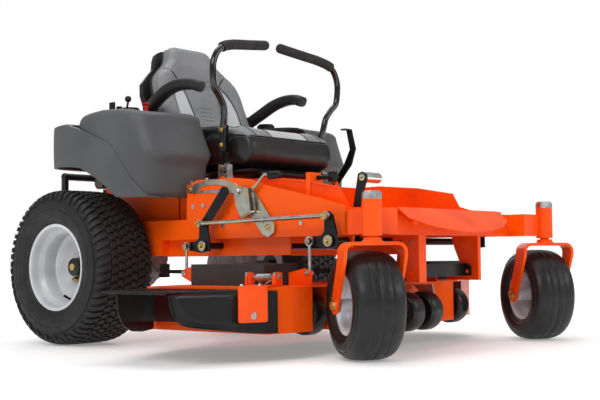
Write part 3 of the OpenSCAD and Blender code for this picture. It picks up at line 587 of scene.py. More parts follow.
CAD_LOOKS = {
    ORANGE: (["main_frame", "front_axle_beam", "footwell_pan", "deck_hangers"], 1.6),
    DECK_PAINT_AND_SHADE: (["deck_shell"], 1.6),
    BLACK_PAINT: (["front_link", "rear_bumper", "seat_base", "rear_lift_shaft", "front_lift_shaft",
                   "brake_lever"], 1.2),
    CONSOLE: (["fuel_cap_right", "fuel_cap_left", "seat_shell"], 1.6),
    BLACK_PLASTIC: (["throttle", "choke_knob", "ignition_key", "star_knob"], 1.0),
    ENGINE: (["engine_block", "blower_housing"], 1.5),
    HOT: (["muffler"], 1.2),
    CAST: (["transaxles"], 1.5),
    CHROME: (["caps_and_bolts", "height_pin"], 0.8),
    ZINC: (["height_quadrant", "height_arm", "lever_base_right", "lever_base_left", "deck_fittings",
            "lift_rods", "deck_hooks"], 0.8),
    COVER: (["belt_covers"], 3.0),
    RED_PLASTIC: (["pto_knob"], 1.0),
    BLADE: (["blade_right", "blade_center", "blade_left"], 0.8),
    BELT: (["deck_belt"], 1.0),
}
for material, (names, width) in CAD_LOOKS.items():
    for name in names:
        ob = frame["nodes"][name]
        for k in range(max(1, len(ob.material_slots))):
            if ob.material_slots:
                ob.material_slots[k].material = material
            else:
                ob.data.materials.append(material)
        if "custom_normal" in ob.data.attributes:
            ob.data.attributes.remove(ob.data.attributes["custom_normal"])
        weld = ob.modifiers.new("weld", "WELD")
        weld.merge_threshold = 0.0001
        bevel(ob, width)


# ---------------------------------------------------------------- wheels

DRIVE_X, DRIVE_R, DRIVE_HALF, TREAD_DEPTH, TREAD_PITCHES = 535, 286, 131, 8, 60
CASTER_X, CASTER_Y, CASTER_R, TRAIL = 518, -1367, 165, 70
CASTER_TURN = radians(-32.4)


def tread_section(r, half):
    """Outer line of a drive tyre as (axial, radius), from the right shoulder to the left one."""
    line = [(-half + 0.5, r - 42), (-half + 3, r - 30), (-half + 12, r - 13), (-half + 28, r - 4.5),
            (-half + 55, r - 1.2), (-half + 90, r - 0.2)]
    return line + [(0, r)] + [(-a, q) for a, q in reversed(line)]


class Line:
    """A plane curve that gives its point and outward normal at a distance from its middle."""

    def __init__(self, points):
        self.p = [Vector((q.x, q.y)) for q in spline([(a, b, 0) for a, b in points], 6)]
        self.s = [0.0]
        for a, b in zip(self.p, self.p[1:]):
            self.s.append(self.s[-1] + (b - a).length)
        self.half = self.s[-1] / 2

    def __call__(self, s):
        s = clamp(s + self.half, 0, self.s[-1] - 1e-6)
        i = max(k for k in range(len(self.s) - 1) if self.s[k] <= s)
        t = (s - self.s[i]) / max(self.s[i + 1] - self.s[i], 1e-9)
        d = (self.p[i + 1] - self.p[i]).normalized()
        return self.p[i].lerp(self.p[i + 1], t), Vector((-d.y, d.x))


def drive_tyre(side, name):
    r, depth = DRIVE_R, TREAD_DEPTH
    hub = Vector((DRIVE_X * side, 0, r))
    line = Line(tread_section(r, DRIVE_HALF))
    steps = 120

    def spot(s, angle, height):
        p, n = line(s)
        p = p + n * height
        return hub + Vector((p.x, -sin(angle) * p.y, cos(angle) * p.y))

    b = Build()
    # carcass: tread floor, sidewalls with ring lines, beads and the inside
    crown = [line(s)[0] - line(s)[1] * depth for s in [line.half * k / 12 for k in range(-12, 13)]]
    outer = [(152, 100), (158, 107), (165, 117), (172, 123.5), (176, 124), (178, 126), (188, 127.5),
             (206, 130.5), (214, 130.8), (216, 129.4), (219, 129.4), (221, 130.8), (232, 129.6), (241, 127)]
    section = [(q.y, q.x) for q in crown]
    section = [(a, -w) for a, w in outer] + section + [(a, w) for a, w in reversed(outer)]
    section += [(152, 86), (170, 104), (240, 108), (262, 90), (268, 60), (268, -60), (262, -90), (240, -108),
                (170, -104), (152, -86)]
    b.add(lathe(hub, (1, 0, 0), section, steps, 0, True), TYRE)
    blocks = Build()
    pitch = 2 * pi / TREAD_PITCHES

    def block(s0, s1, a0, a1, bend, slant, nu=4, nv=2):
        """One tread block between two widths and two angles, bent and slanted round the tyre."""
        def pt(u, v, h, grow):
            s = lerp(s0, s1, u) + (u - 0.5) * 2 * grow
            a = lerp(a0, a1, v) + (v - 0.5) * 2 * grow / r
            a += slant * (u - 0.5) + bend * (4 * (u - 0.5) ** 2)
            return spot(s, a, h)
        ring = [(k / nu, 0) for k in range(nu)] + [(1, k / nv) for k in range(nv)] \
            + [(1 - k / nu, 1) for k in range(nu)] + [(0, 1 - k / nv) for k in range(nv)]
        verts = [pt(u, v, -depth - 1.2, 0.8) for u, v in ring] + [pt(u, v, -1.3, 0) for u, v in ring] \
            + [pt(u, v, -0.1, -1.2) for u, v in ring]
        m = len(ring)
        faces = [(k, (k + 1) % m, m + (k + 1) % m, m + k) for k in range(m)]
        faces += [(m + k, m + (k + 1) % m, 2 * m + (k + 1) % m, 2 * m + k) for k in range(m)]
        top = 2 * m
        inner = {}
        for k, (u, v) in enumerate(ring):
            inner[(round(u * nu), round(v * nv))] = top + k
        for iu in range(1, nu):
            for iv in range(1, nv):
                inner[(iu, iv)] = len(verts)
                verts.append(pt(iu / nu, iv / nv, -0.1, -1.2))
        for iu in range(nu):
            for iv in range(nv):
                faces.append((inner[(iu, iv)], inner[(iu + 1, iv)], inner[(iu + 1, iv + 1)],
                              inner[(iu, iv + 1)]))
        blocks.add((verts, faces), TYRE)

    for k in range(TREAD_PITCHES):
        t = k * pitch
        for row in range(5):
            s = (row - 2) * 31
            shift = pitch * (0.5 if row % 2 else 0) + 0.012 * row
            lean = 0.02 if row % 2 else -0.02
            block(s - 13, s + 13, t + shift, t + shift + pitch * 0.66, 0.016, lean)
        for sign in (-1, 1):
            a = t + (0.25 * pitch if sign > 0 else 0)
            near, far = 81, line.half - 5 - (4 if k % 2 else 14)
            lo, hi = (near, far) if sign > 0 else (-far, -near)
            block(lo, hi, a, a + pitch * 0.6, 0.0, 0.07 * sign, 6, 2)
    body = "rear_wheel_" + name
    tyre = b.make("tyre_rear_" + name, body, "tyre", 40)
    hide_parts("rear_tyre_" + name)
    blocks.make("tread_rear_" + name, body, "tyre", 30)


def drive_rim(side, name):
    hub = Vector((DRIVE_X * side, 0, DRIVE_R))
    out = Vector((side, 0, 0))
    b = Build()
    half = DRIVE_HALF
    barrel = [(157, half - 22), (159.5, half - 21), (160.5, half - 19), (159.5, half - 17),
              (156, half - 16.4), (150, half - 18), (146.5, half - 24), (146, half - 42), (143, half - 50),
              (131, half - 60), (127.5, half - 66), (127, 40), (127, -40), (127.5, -half + 66),
              (143, -half + 50), (146, -half + 42), (146.5, -half + 24), (150, -half + 18),
              (156, -half + 16.4), (160, -half + 19), (157, -half + 22), (151.6, -half + 25),
              (151.6, -half + 45), (132, -half + 62), (132, half - 62), (151.6, half - 45),
              (151.6, half - 25)]
    b.add(lathe(hub, out, barrel, 120, 0, True), RIM)
    disc = [(24, -19.5), (80, -19.5), (88, -17), (96, -10), (120, 8), (128.5, 12), (128.5, 17), (118, 14.5),
            (94, -3), (86, -11), (78, -13.6), (50, -14.2), (24, -14.2)]
    b.add(lathe(hub, out, disc, 120, 0, True), RIM)
    # a raised ring presses the disc
    b.add(lathe(hub, out, [(70, -14.6), (72, -12), (75, -12), (77, -14.4)], 96, 0, False), RIM)
    rim = b.make("rim_rear_" + name, "rear_wheel_" + name, "silver_rim", 40)
    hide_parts("rear_rim_" + name)
    h = Build()
    h.add(lathe(hub, out, [(17, -212), (17, -20)], 32), STEEL)
    h.add(lathe(hub, out, [(44, -20), (44, -13), (36, -12), (34, 26), (32.5, 30), (22, 31)], 48), BLACK_PAINT)
    h.add(lathe(hub, out, [(15, 29), (15, 36), (13.5, 38)], 6), GOLD)
    for k in range(5):
        a = radians(90 + 72 * k)
        p = hub + Vector((0, cos(a) * 57, sin(a) * 57))
        h.add(lathe(p, out, [(15, -15), (14, -11.5), (11, -11), (10.4, 1), (8.4, 3.4), (5, 4), (5, 9),
                             (4, 10)], 6), GOLD)
    h.make("hub_rear_" + name, "rear_wheel_" + name, "steel", 35)
    v = Build()
    a = radians(-112)
    p = hub + Vector((side * (half - 62), cos(a) * 134, sin(a) * 134))
    d = Vector((side * 0.75, -cos(a) * 0.5, -sin(a) * 0.5)).normalized()
    v.add(lathe(p, d, [(8, -2), (8, 3), (4.6, 8), (4.4, 30), (4.8, 31), (4.8, 40), (3.6, 42)], 20),
          BLACK_PLASTIC)
    v.make("valve_rear_" + name, "rear_wheel_" + name, "black_plastic", 35)


def caster(side, p):
    """A point of the caster's own frame: x along the axle, y back along the trail."""
    c, s = cos(CASTER_TURN), sin(CASTER_TURN)
    return Vector((side * CASTER_X + c * p[0] - s * p[1], CASTER_Y + s * p[0] + c * p[1], p[2]))


def caster_axle(side):
    """Middle and direction of a front wheel's axle."""
    along_axle = caster(side, (1, 0, 0)) - caster(side, (0, 0, 0))
    return caster(side, (0, TRAIL, CASTER_R)), along_axle.normalized()


def front_wheel(side, name):
    hub, axle = caster_axle(side)
    b = Build()
    half = [(83, 54), (87, 58), (91, 66), (96, 72.5), (100, 74), (101.5, 73.2), (103, 75.5), (110, 79.6),
            (120, 82.2), (130, 81.6), (138, 78.8), (139.5, 76.9), (141, 76.9), (142.5, 77.2), (150, 72.5),
            (157, 63), (161.3, 51), (163.6, 38), (164.3, 30), (163.9, 29), (164.4, 28), (165, 12),
            (165, 3.2), (164.1, 2.2)]
    outer = [(r, -a) for r, a in half] + [(164.0, 0)] + [(r, a) for r, a in reversed(half)]
    inner = [(84, 46), (100, 58), (140, 62), (150, 44), (152, 20), (152, -20), (150, -44), (140, -62),
             (100, -58), (84, -46)]
    b.add(lathe(hub, axle, outer + inner, 128, 0, True), SLICK)
    body = "front_wheel_" + name
    tyre = b.make("tyre_front_" + name, body, "tyre", 45)
    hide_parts("front_tyre_" + name)
    r = Build()
    for s in (-1, 1):
        ring = [(82.2, 38), (82.2, 54), (87, 60.5), (90, 60.8), (91.4, 62.6), (90, 64.6), (85, 64.4),
                (80, 60), (77.6, 53), (77, 38), (74, 31), (63, 23), (60.4, 17), (60, 1), (65, 1), (65.6, 18),
                (75, 29)]
        r.add(lathe(hub, axle * s, ring, 96, 0, True), RIM)
        r.add(lathe(hub, axle * s, [(20, 2), (61, 2), (61, 4.6), (30, 5), (24, 8), (20.8, 14), (20.8, 80),
                                    (19, 82), (12, 82), (12, 40)], 64, 0, False), RIM)
        r.add(lathe(hub, axle * s, [(12.5, 81.5), (12.5, 84.5), (8.5, 85)], 40), STEEL)
        for k in range(4):
            a = radians(45 + 90 * k)
            u, v, d = basis(axle * s)
            r.bolt(hub + (u * cos(a) + v * sin(a)) * 42 + d * 4.6, d, 6, 5, ZINC)
    r.add(lathe(hub + (basis(axle)[1]) * 50 + axle * 4, axle,
                [(5, 0), (4, 4), (3.6, 22), (4.2, 23), (4.2, 29), (3, 30)], 16),
          BLACK_PLASTIC)
    rim = r.make("rim_front_" + name, body, "silver_rim", 40)
    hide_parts("front_rim_" + name)


def fork(side, name):
    front_edge = [(352, -32), (310, -32), (250, -4), (165, 42), (139, 68)]
    rear_edge = [(352, 32), (300, 34), (168, 96), (139, 72)]
    half, top, bend = 95, 349, 26
    stations = []
    for z in [139.4, 141, 144, 148, 153, 159, 166, 180, 200, 225, 250, 280, 310, top - bend]:
        stations.append((half, z))
    for k in range(1, 8):
        a = pi / 2 * k / 8
        stations.append((half - bend + bend * cos(a), top - bend + bend * sin(a)))
    stations += [(half - bend - 1, top), (35, top)]
    stations = stations + [(-x, z) for x, z in reversed(stations)]
    rows = []
    for x, z in stations:
        if z < CASTER_R:
            # the strap's round lower end
            w = sqrt(max(26 ** 2 - (CASTER_R - z) ** 2, 0.2))
            lo, hi = TRAIL - w, TRAIL + w
            if z > 150:
                t = (z - 150) / 15
                lo = lerp(lo, along(front_edge, z), t)
        else:
            lo, hi = along(front_edge, z), along(rear_edge, z)
        rows.append([caster(side, (x, lerp(lo, hi, k / 6), z)) for k in range(7)])
    body = "fork_" + name
    strap = single("strap_fork_" + name, grid(rows), ORANGE, body, "frame_orange", 50)
    solidify(strap, 10, 0)
    bevel(strap, 1.8, 3, 50)
    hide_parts("fork_" + name)
    b = Build()
    c = caster(side, (0, 0, 0))
    b.add(lathe(c, (0, 0, 1), [(34, 353.5), (32, 356), (28, 359), (27, 366), (26, 367), (17, 367),
                               (15.9, 368), (15.9, 478)], 48), ORANGE)
    hub, axle = caster_axle(side)
    b.add(lathe(hub, axle, [(7.9, -104), (7.9, 104)], 24), ZINC)
    for s in (-1, 1):
        b.bolt(hub + axle * s * 100, axle * s, 13.5, 9, GOLD, 1.35)
    b.make("stem_fork_" + name, body, "zinc", 35)


for name, side in SIDES.items():
    drive_tyre(side, name)
    drive_rim(side, name)
    front_wheel(side, name)
    fork(side, name)


def scalp_wheel(c, name):
    c = Vector(c)
    b = Build()
    b.add(lathe(c, (1, 0, 0), [(12, -34), (24, -34.6), (30, -32), (40, -31), (50, -34.5), (57, -32.5),
                               (62, -27), (64.6, -18), (65, -6), (65, 6), (64.6, 18), (62, 27), (57, 32.5),
                               (50, 34.5), (40, 31), (30, 32), (24, 34.6), (12, 34)], 72), ROLLER)
    ob = b.make("roller_" + name, name, "roller", 40)
    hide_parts(name)


for name, c in {"scalp_wheel_right": (-462, -1060, 130), "scalp_wheel_mid_right": (-165, -1228, 130),
                "scalp_wheel_mid_left": (-62, -1228, 130), "scalp_wheel_left": (302, -1095, 132.7)}.items():
    scalp_wheel(c, name)

# ---------------------------------------------------------------- fenders

ARCH = [(152, 661), (60, 660), (-27, 657), (-86, 649), (-173, 608), (-230, 572), (-280, 534), (-330, 531),
        (-425, 530)]
PARTING = [(152, 817), (15, 817), (-60, 797), (-150, 766), (-231, 734), (-270, 702), (-340, 609), (-404, 534),
           (-430, 531)]
TOP = [(160, 826), (15, 832), (-3, 840), (-57, 853), (-174, 861), (-314, 852), (-400, 842)]


def plan_line(rear, front, out, steps=8):
    """Outer edge of a fender seen from above, from its rear inner corner to its front inner corner."""
    pts = [(300, rear, 0), (430, rear - 1, 0), (520, rear - 12, 0), (572, rear - 48, 0),
           (out - 3, rear - 105, 0), (out, rear - 180, 0), (out, lerp(rear, front, 0.6), 0),
           (out - 14, front + 95, 0), (out - 52, front + 38, 0), (out - 125, front + 8, 0),
           (380, front - 1, 0), (300, front - 1, 0)]
    return [(p.x, p.y) for p in spline(pts, steps)]


def fender(side, name):
    sgn = Vector((side, 1, 1))

    def m(x, y, z):
        return Vector((x, y, z)) * sgn

    # upper body, from below the parting line up over the shoulder to its inner edge
    levels = 14
    rows = []

    def front_at(z):
        if z >= 842:
            return -392
        if z > 676:
            return lerp(-470, -392, (z - 676) / 166)
        if z > 664:
            return lerp(-442, -470, (z - 664) / 12)
        return lerp(-428, -442, (z - 530) / 134)

    base = plan_line(12, -440, 594)
    n = len(base)
    for j in range(levels + 1):
        row = []
        for i, (x, y) in enumerate(base):
            low = max(531, along(PARTING, y) - 22)
            high = along(TOP, y) - 34
            low = min(low, high - 20)
            z = lerp(low, high, j / levels)
            yy = y
            if y < -300:
                k = (-300 - y) / 140
                yy = -300 - (-300 - front_at(z)) * k
            inset = (z - 531) / 330 * 10
            row.append(m(x - (inset if x > 320 else 0), yy, z))
        rows.append(row)
    shoulder = rows[-1]
    tops = []
    for k in range(1, 7):
        a = pi / 2 * k / 6
        row = []
        for i, (x, y) in enumerate(base):
            p = shoulder[i]
            nxt = shoulder[min(i + 1, n - 1)]
            prv = shoulder[max(i - 1, 0)]
            t = (nxt - prv)
            nrm = Vector((t.y, -t.x, 0)).normalized() * (-1 if side > 0 else 1)
            centre = m(430, -180, p.z)
            if (centre - p).dot(nrm) < 0:
                nrm = -nrm
            r = 34
            q = p + nrm * r * (1 - cos(a)) + Vector((0, 0, r * sin(a)))
            q.x = side * max(300, abs(q.x))
            row.append(q)
        tops.append(row)
    rows += tops
    edge = rows[-1]
    for k in range(1, 7):
        t = k / 6
        row = []
        for i in range(n):
            p = edge[i]
            y = lerp(-28, -352, i / (n - 1))
            target = m(300, y, along(TOP, y) - 1)
            q = p.lerp(target, t)
            q.z = lerp(p.z, along(TOP, q.y) + 1.5, min(1, t * 2))
            row.append(q)
        rows.append(row)
    upper = single("upper_fender_" + name, grid(rows), FENDER, "chassis", "fender_grey", 60)
    solidify(upper, 4)
    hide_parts("fender_" + name)

    # arch panel, proud of the upper body, with a shelf behind it
    base = plan_line(160, -440, 600)
    keep = [p for p in base if p[1] > -424]
    n = len(keep)
    rows = []
    spans = [0, 0.02, 0.05, 0.15, 0.3, 0.45, 0.6, 0.72, 0.82, 0.9, 0.955]
    for lip in (16, 8):
        row = []
        for x, y in keep:
            c = Vector((420 - x, (-140 - y) * 0.8)).normalized() if x > 330 else Vector((0,
                                                                                         -1 if y > 0 else 1))
            row.append(m(x + c.x * lip, y + c.y * lip, along(ARCH, y) + 2))
        rows.append(row)
    for s in spans:
        row = []
        for x, y in keep:
            lo, hi = along(ARCH, y), along(PARTING, y)
            hi = max(hi, lo + 1.5)
            flare = 2.5 * sin(pi * s) if x > 400 else 0
            row.append(m(min(600, x - 3 + flare), y, lerp(lo, hi, s)))
        rows.append(row)
    for k in range(1, 5):
        a = pi / 2 * k / 4
        row = []
        for i, (x, y) in enumerate(keep):
            lo, hi = along(ARCH, y), along(PARTING, y)
            hi = max(hi, lo + 1.5)
            big = clamp((y - 5) / 25, 0, 1)
            r = lerp(9, 24, big)
            start = lerp(lo, hi, 0.955)
            c = Vector((420 - x, (-140 - y) * (1 if y > -150 else 0.3)))
            c = c.normalized() if c.length > 1 else Vector((-1, 0))
            z = start + (hi - start) * sin(a) + (4 if big > 0.5 else 0) * sin(a)
            row.append(m(x - 3 + c.x * r * (1 - cos(a)), y + c.y * r * (1 - cos(a)), z))
        rows.append(row)
    for k in range(1, 5):
        row = []
        for i, (x, y) in enumerate(keep):
            p = rows[len(spans) + 5][i]
            big = clamp((y - 5) / 25, 0, 1)
            px, py = abs(p.x), p.y
            tx, ty = (300, clamp(py, 8, 140)) if big > 0 else (px - 14, py)
            t = k / 4
            row.append(m(lerp(px, tx, t * big if big else t), lerp(py, ty, t * big), p.z + (2 if big else 0)))
        rows.append(row)
    arch = single("arch_fender_" + name, grid(rows), FENDER, "chassis", "fender_grey", 55)
    solidify(arch, 3.5)


for name, side in SIDES.items():
    fender(side, name)


# ---------------------------------------------------------------- seat

LEAN = radians(22)
FOOT = (-215, 760)
SKIRT_Z = 757
VOXEL = 6
CLOTH_FRAMES = 20
BACK_HALF = [(-60, 212), (0, 232), (97, 249), (259, 249), (310, 233), (352, 190), (388, 148), (432, 130),
             (460, 112), (474, 80)]


def back_at(x, s, n):
    """A point of the backrest: across, up along its slope, and forwards from its rear face."""
    return Vector((x, FOOT[0] + s * sin(LEAN) + n * cos(LEAN), FOOT[1] + s * cos(LEAN) - n * sin(LEAN)))


def back_local(p):
    """The inverse of back_at."""
    y, z = p.y - FOOT[0], p.z - FOOT[1]
    return Vector((p.x, y * sin(LEAN) + z * cos(LEAN), y * cos(LEAN) - z * sin(LEAN)))


def evaluated_mesh(ob):
    graph = bpy.context.evaluated_depsgraph_get()
    return bpy.data.meshes.new_from_object(ob.evaluated_get(graph), depsgraph=graph)


def stuffed(name, shape, voxel, soften, cap, pressure=4.0):
    """Closed shape, remeshed, softened, blown up as cloth by at most cap mm, and subdivided once."""
    me = bpy.data.meshes.new(name)
    me.from_pydata([at(v) for v in shape[0]], [], shape[1])
    bm = bmesh.new()
    bm.from_mesh(me)
    bmesh.ops.remove_doubles(bm, verts=bm.verts, dist=1e-6)
    bmesh.ops.recalc_face_normals(bm, faces=bm.faces)
    bm.to_mesh(me)
    bm.free()
    ob = bpy.data.objects.new(name, me)
    bpy.context.scene.collection.objects.link(ob)
    remesh = ob.modifiers.new("remesh", "REMESH")
    remesh.mode = "VOXEL"
    remesh.voxel_size = voxel * MM
    fair = ob.modifiers.new("soften", "SMOOTH")
    fair.factor = 0.5
    fair.iterations = soften
    smooth = evaluated_mesh(ob)
    ob.modifiers.clear()
    ob.data = smooth
    start = [v.co.copy() for v in smooth.vertices]
    cloth = ob.modifiers.new("Cloth", "CLOTH")
    cloth.settings.use_pressure = True
    cloth.settings.uniform_pressure_force = pressure
    cloth.settings.effector_weights.gravity = 0
    cloth.point_cache.frame_start, cloth.point_cache.frame_end = 1, CLOTH_FRAMES
    scene = bpy.context.scene
    for f in range(1, CLOTH_FRAMES + 1):
        scene.frame_set(f)
    blown = evaluated_mesh(ob)
    ob.modifiers.clear()
    for v, a in zip(blown.vertices, start):
        d = v.co - a
        if d.length > cap * MM:
            v.co = a + d.normalized() * cap * MM
    ob.data = blown
    scene.frame_set(1)
    m = ob.modifiers.new("fair", "SUBSURF")
    m.levels = m.render_levels = 1
    fine = evaluated_mesh(ob)
    ob.modifiers.clear()
    ob.data = fine
    return ob


def work(p):
    """The frame's metres to work millimetres."""
    return (Vector(p) - ORIGIN) / MM


def cast(tree, origin, direction):
    """Where a ray meets a surface, or None."""
    hit = tree.ray_cast(at(origin), Vector(direction).normalized())[0]
    return work(hit) if hit else None


def surface_tree(ob):
    return BVHTree.FromPolygons([v.co.copy() for v in ob.data.vertices],
                                [tuple(p.vertices) for p in ob.data.polygons])


def groove(ob, lines, reach, depth):
    """Draws the surface in along sewn lines."""
    pts = [p for line in lines for p in line]
    tree = KDTree(len(pts))
    for i, p in enumerate(pts):
        tree.insert(at(p), i)
    tree.balance()
    normals = [v.normal.copy() for v in ob.data.vertices]
    for v, n in zip(ob.data.vertices, normals):
        d = tree.find(v.co)[2] / MM
        if d < reach:
            v.co -= n * depth * MM * (1 - d / reach) ** 2


def paint(ob, mats, rule):
    """Gives each face the material that rule(centre in work mm, normal) picks."""
    for m in mats:
        ob.data.materials.append(m)
    for p in ob.data.polygons:
        p.material_index = rule(work(p.center), p.normal)
        p.use_smooth = True


def dense(line, step=3.0):
    """The line with a point at least every step mm."""
    out = [line[0]]
    for a, b in zip(line, line[1:]):
        k = max(1, int(ceil((b - a).length / step)))
        out += [a.lerp(b, i / k) for i in range(1, k + 1)]
    return out


def relax(line, rounds=2):
    """Evens out a line's wobble and keeps its ends."""
    for _ in range(rounds):
        line = [line[0]] + [(a + b * 2 + c) / 4 for a, b, c in zip(line, line[1:], line[2:])] + [line[-1]]
    return line


def stitches(build, line, tree, offset, material, pitch=7.0, length=4.2, r=0.55):
    """Short threads beside a seam."""
    line = dense(line, 1.5)
    travelled, start = 0.0, None
    for a, b in zip(line, line[1:]):
        travelled += (b - a).length
        if travelled % pitch < length:
            if start is None:
                start = a
        elif start is not None:
            d = (a - start)
            if d.length > 1:
                near = [tree.find_nearest(at(q)) for q in (start, a)]
                n = near[0][1]
                across = d.normalized().cross(n).normalized() * offset
                ends = [tree.find_nearest(at(q + across)) for q in (start, a)]
                p0, p1 = [work(e[0]) + e[1] * 0.25 for e in ends]
                if (p1 - p0).length > 1:
                    mid = (p0 + p1) / 2 + n * 0.35
                    build.add(sweep([p0, mid, p1], circle(r, 5)), material)
            start = None


# backrest pad
def back_pad():
    layers = [(8, 26), (11, 16), (18, 10), (30, 7), (50, 6), (70, 8), (79, 14)]
    rows = []
    for n, inset in layers:
        half = [(s, max(12, w - inset)) for s, w in BACK_HALF]
        top = 474 - inset
        side_pts = [(w, min(max(s, -60 + inset), top)) for s, w in half]
        outline = side_pts + [(-w, s) for w, s in reversed(side_pts)]
        ring = [Vector((x, s, 0)) for x, s in rounded(outline, 26, 4)]
        rows.append([back_at(p.x, p.y, n) for p in ring])
    ob = stuffed("pad_backrest", loft(rows), VOXEL, 10, 6)
    # bolsters stand forward of the middle
    for v in ob.data.vertices:
        q = back_local(work(v.co))
        front = clamp((40 - q.z) / 24, 0, 1)
        wide = along([(60, 150), (250, 168), (330, 130)], q.y)
        hollow = clamp((wide + 26 - abs(q.x)) / 52, 0, 1)
        hollow = hollow * hollow * (3 - 2 * hollow)
        low = clamp((365 - q.y) / 90, 0, 1)
        q.z += 15 * front * hollow * low
        # the headrest is thinner and tips forward
        head = clamp((q.y - 330) / 140, 0, 1)
        q.z -= 4 * head * clamp((q.z - 30) / 40, 0, 1)
        v.co = at(back_at(*q))
    ob.data.update()
    return ob


def centre_half(s):
    """Half the width of the backrest's middle panel."""
    return along([(52, 0), (54, 26), (60, 46), (72, 60), (90, 68), (150, 76), (230, 88), (280, 104),
                  (312, 126), (338, 158), (352, 192)], s)


def outer_half(s):
    """Half the width of the light band beside the middle panel."""
    return along([(-60, 150), (0, 158), (100, 168), (180, 168), (230, 160), (262, 146), (284, 124),
                  (296, 108)], s)


back = back_pad()
tree = surface_tree(back)
normal = back_at(0, 0, -1) - back_at(0, 0, 0)


def on_back(x, s):
    return cast(tree, back_at(x, s, -120), -normal)


seams = []
line = []
for k in range(0, 61):
    s = lerp(345, 54, (k / 60) ** 0.9)
    line.append((centre_half(s), s))
right_line = [on_back(x, s) for x, s in line]
left_line = [on_back(-x, s) for x, s in reversed(line)]
shield = relax([p for p in right_line + left_line if p], 3)
seams.append(shield)
for sgn in (-1, 1):
    band = [on_back(sgn * outer_half(s), s) for s in [lerp(292, -52, k / 50) for k in range(51)]]
    seams.append(relax([p for p in band if p], 3))
groove(back, [dense(q) for q in seams], 11, 4.5)
RIBS = [(302, 92, 112), (284, 88, 106), (268, 84, 98), (176, 56, 66), (158, 54, 64), (140, 50, 60),
        (122, 46, 54)]
for v in back.data.vertices:
    q = back_local(work(v.co))
    if q.z < 45:
        for s, inner, half in RIBS:
            if abs(q.x) < half - 22:
                d = abs(q.y - s)
                if d < 9:
                    q.z += 3.2 * (1 - (d / 9) ** 2) * clamp((half - 22 - abs(q.x)) / 10, 0, 1)
        v.co = at(back_at(*q))
back.data.update()


def back_rule(p, n):
    q = back_local(p)
    if q.z > 50:
        return 2
    w = abs(q.x)
    if q.y > 345 or (q.y > 53 and w < centre_half(q.y)):
        return 0
    if q.y < 294 and w < outer_half(q.y):
        return 1
    return 0


paint(back, [SEAT_MID, SEAT_LIGHT, SEAT_BLACK], back_rule)
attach(back, "seat")
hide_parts("seat_back")

trim = Build()
tree = surface_tree(back)
ring = []
for k in range(140):
    a = 2 * pi * k / 140
    d = back_at(sin(a), cos(a), 0) - back_at(0, 0, 0)
    p = cast(tree, back_at(0, 200, 50) + d * 600, -d)
    if p:
        ring.append(p)
trim.add(tube(ring, 3.0, 8, True), PIPING)
for q in seams:
    trim.add(tube(relax(dense(q, 5), 2), 1.3, 6), PIPING)
    for off in (-4.5, 4.5):
        stitches(trim, q, tree, off, THREAD)
trim.make("piping_backrest", "seat", "seat_vinyl", 60)

# cushion
CUSHION = [(-262, 650), (-216, 776), (-250, 794), (-330, 799), (-420, 798), (-545, 791), (-592, 768),
           (-610, 735), (-612, 694), (-598, 660), (-560, 650)]


def cushion_pad():
    rows = []
    for x, k in [(-238, 0.9), (-234, 0.955), (-226, 0.985), (-208, 1), (0, 1), (208, 1), (226, 0.985),
                 (234, 0.955), (238, 0.9)]:
        c = Vector((-425, 725))
        rows.append([Vector((x, c.x + (y - c.x) * k, c.y + (z - c.y) * k)) for y,
                     z in rounded(CUSHION, 30, 3)])
    ob = stuffed("pad_cushion", loft(rows), VOXEL, 12, 7)
    for v in ob.data.vertices:
        p = work(v.co)
        up = clamp((p.z - 740) / 50, 0, 1)
        side_lift = clamp((abs(p.x) - 95) / 110, 0, 1)
        # bolsters rise along the sides, and most at the back; the middle is dished
        rise = 12 * side_lift ** 1.5 * clamp((p.y + 560) / 200, 0, 1)
        p.z += up * (rise - 6 * (1 - side_lift) * clamp((p.y + 600) / 120, 0, 1))
        v.co = at(p)
    ob.data.update()
    return ob


def split_z(y):
    """Height of the seam between the cushion's top and its black skirt."""
    return along([(-640, 757), (-560, 759), (-500, 768), (-450, 788), (-410, 812), (-200, 840)], y)


seat = cushion_pad()
tree = surface_tree(seat)
edge_line = []
for k in range(-70, 71):
    a = radians(k * 1.9)
    d = Vector((sin(a), -cos(a), 0))
    z = SKIRT_Z
    for _ in range(3):
        p = cast(tree, Vector((0, -430, z)) + d * 500, -d)
        if not p:
            break
        z = min(split_z(p.y), 800)
    if p and split_z(p.y) < 803:
        edge_line.append(p)


def rear_run(sgn):
    out = []
    for k in range(16):
        y = lerp(-405, -262, k / 15)
        p = cast(tree, (sgn * lerp(226, 212, min(1, k / 5)), y, 950), (0, 0, -1))
        if p:
            out.append(p)
    return out


edge_line = list(reversed(rear_run(-1))) + edge_line + rear_run(1)
edge_line = relax(edge_line, 4)
panel_lines = []
for x, bow in ((-102, 0.04), (102, 0.04), (-186, 0), (186, 0)):
    line = []
    for k in range(50):
        a = radians(lerp(-8, 130, k / 49))
        d = Vector((0, -cos(a), sin(a)))
        p = cast(tree, Vector((x * (1 + bow * sin(a)), -430, 740)) + d * 400, -d)
        if p and p.z > SKIRT_Z:
            line.append(p)
    panel_lines.append(relax(line, 2))
cross = []
for k in range(41):
    x = lerp(-186, 186, k / 40)
    cross.append(cast(tree, (x, -330 - 14 * cos(x / 186 * pi / 2), 950), (0, 0, -1)))
cross = relax([p for p in cross if p], 2)
groove(seat, [dense(q) for q in panel_lines + [cross]], 11, 4.0)
groove(seat, [dense(edge_line)], 9, 2.5)
seat.data.update()


def seat_rule(p, n):
    w = abs(p.x)
    if p.z < SKIRT_Z or (w > 190 and p.z < split_z(p.y)) or (p.y > -410 and w > lerp(226, 212,
                                                                                     clamp((p.y + 405) / 48,
                                                                                           0, 1))):
        return 2
    if n.z < 0.1 and w > 200 and p.z < split_z(p.y):
        return 2
    return 1 if w < 102 else 0


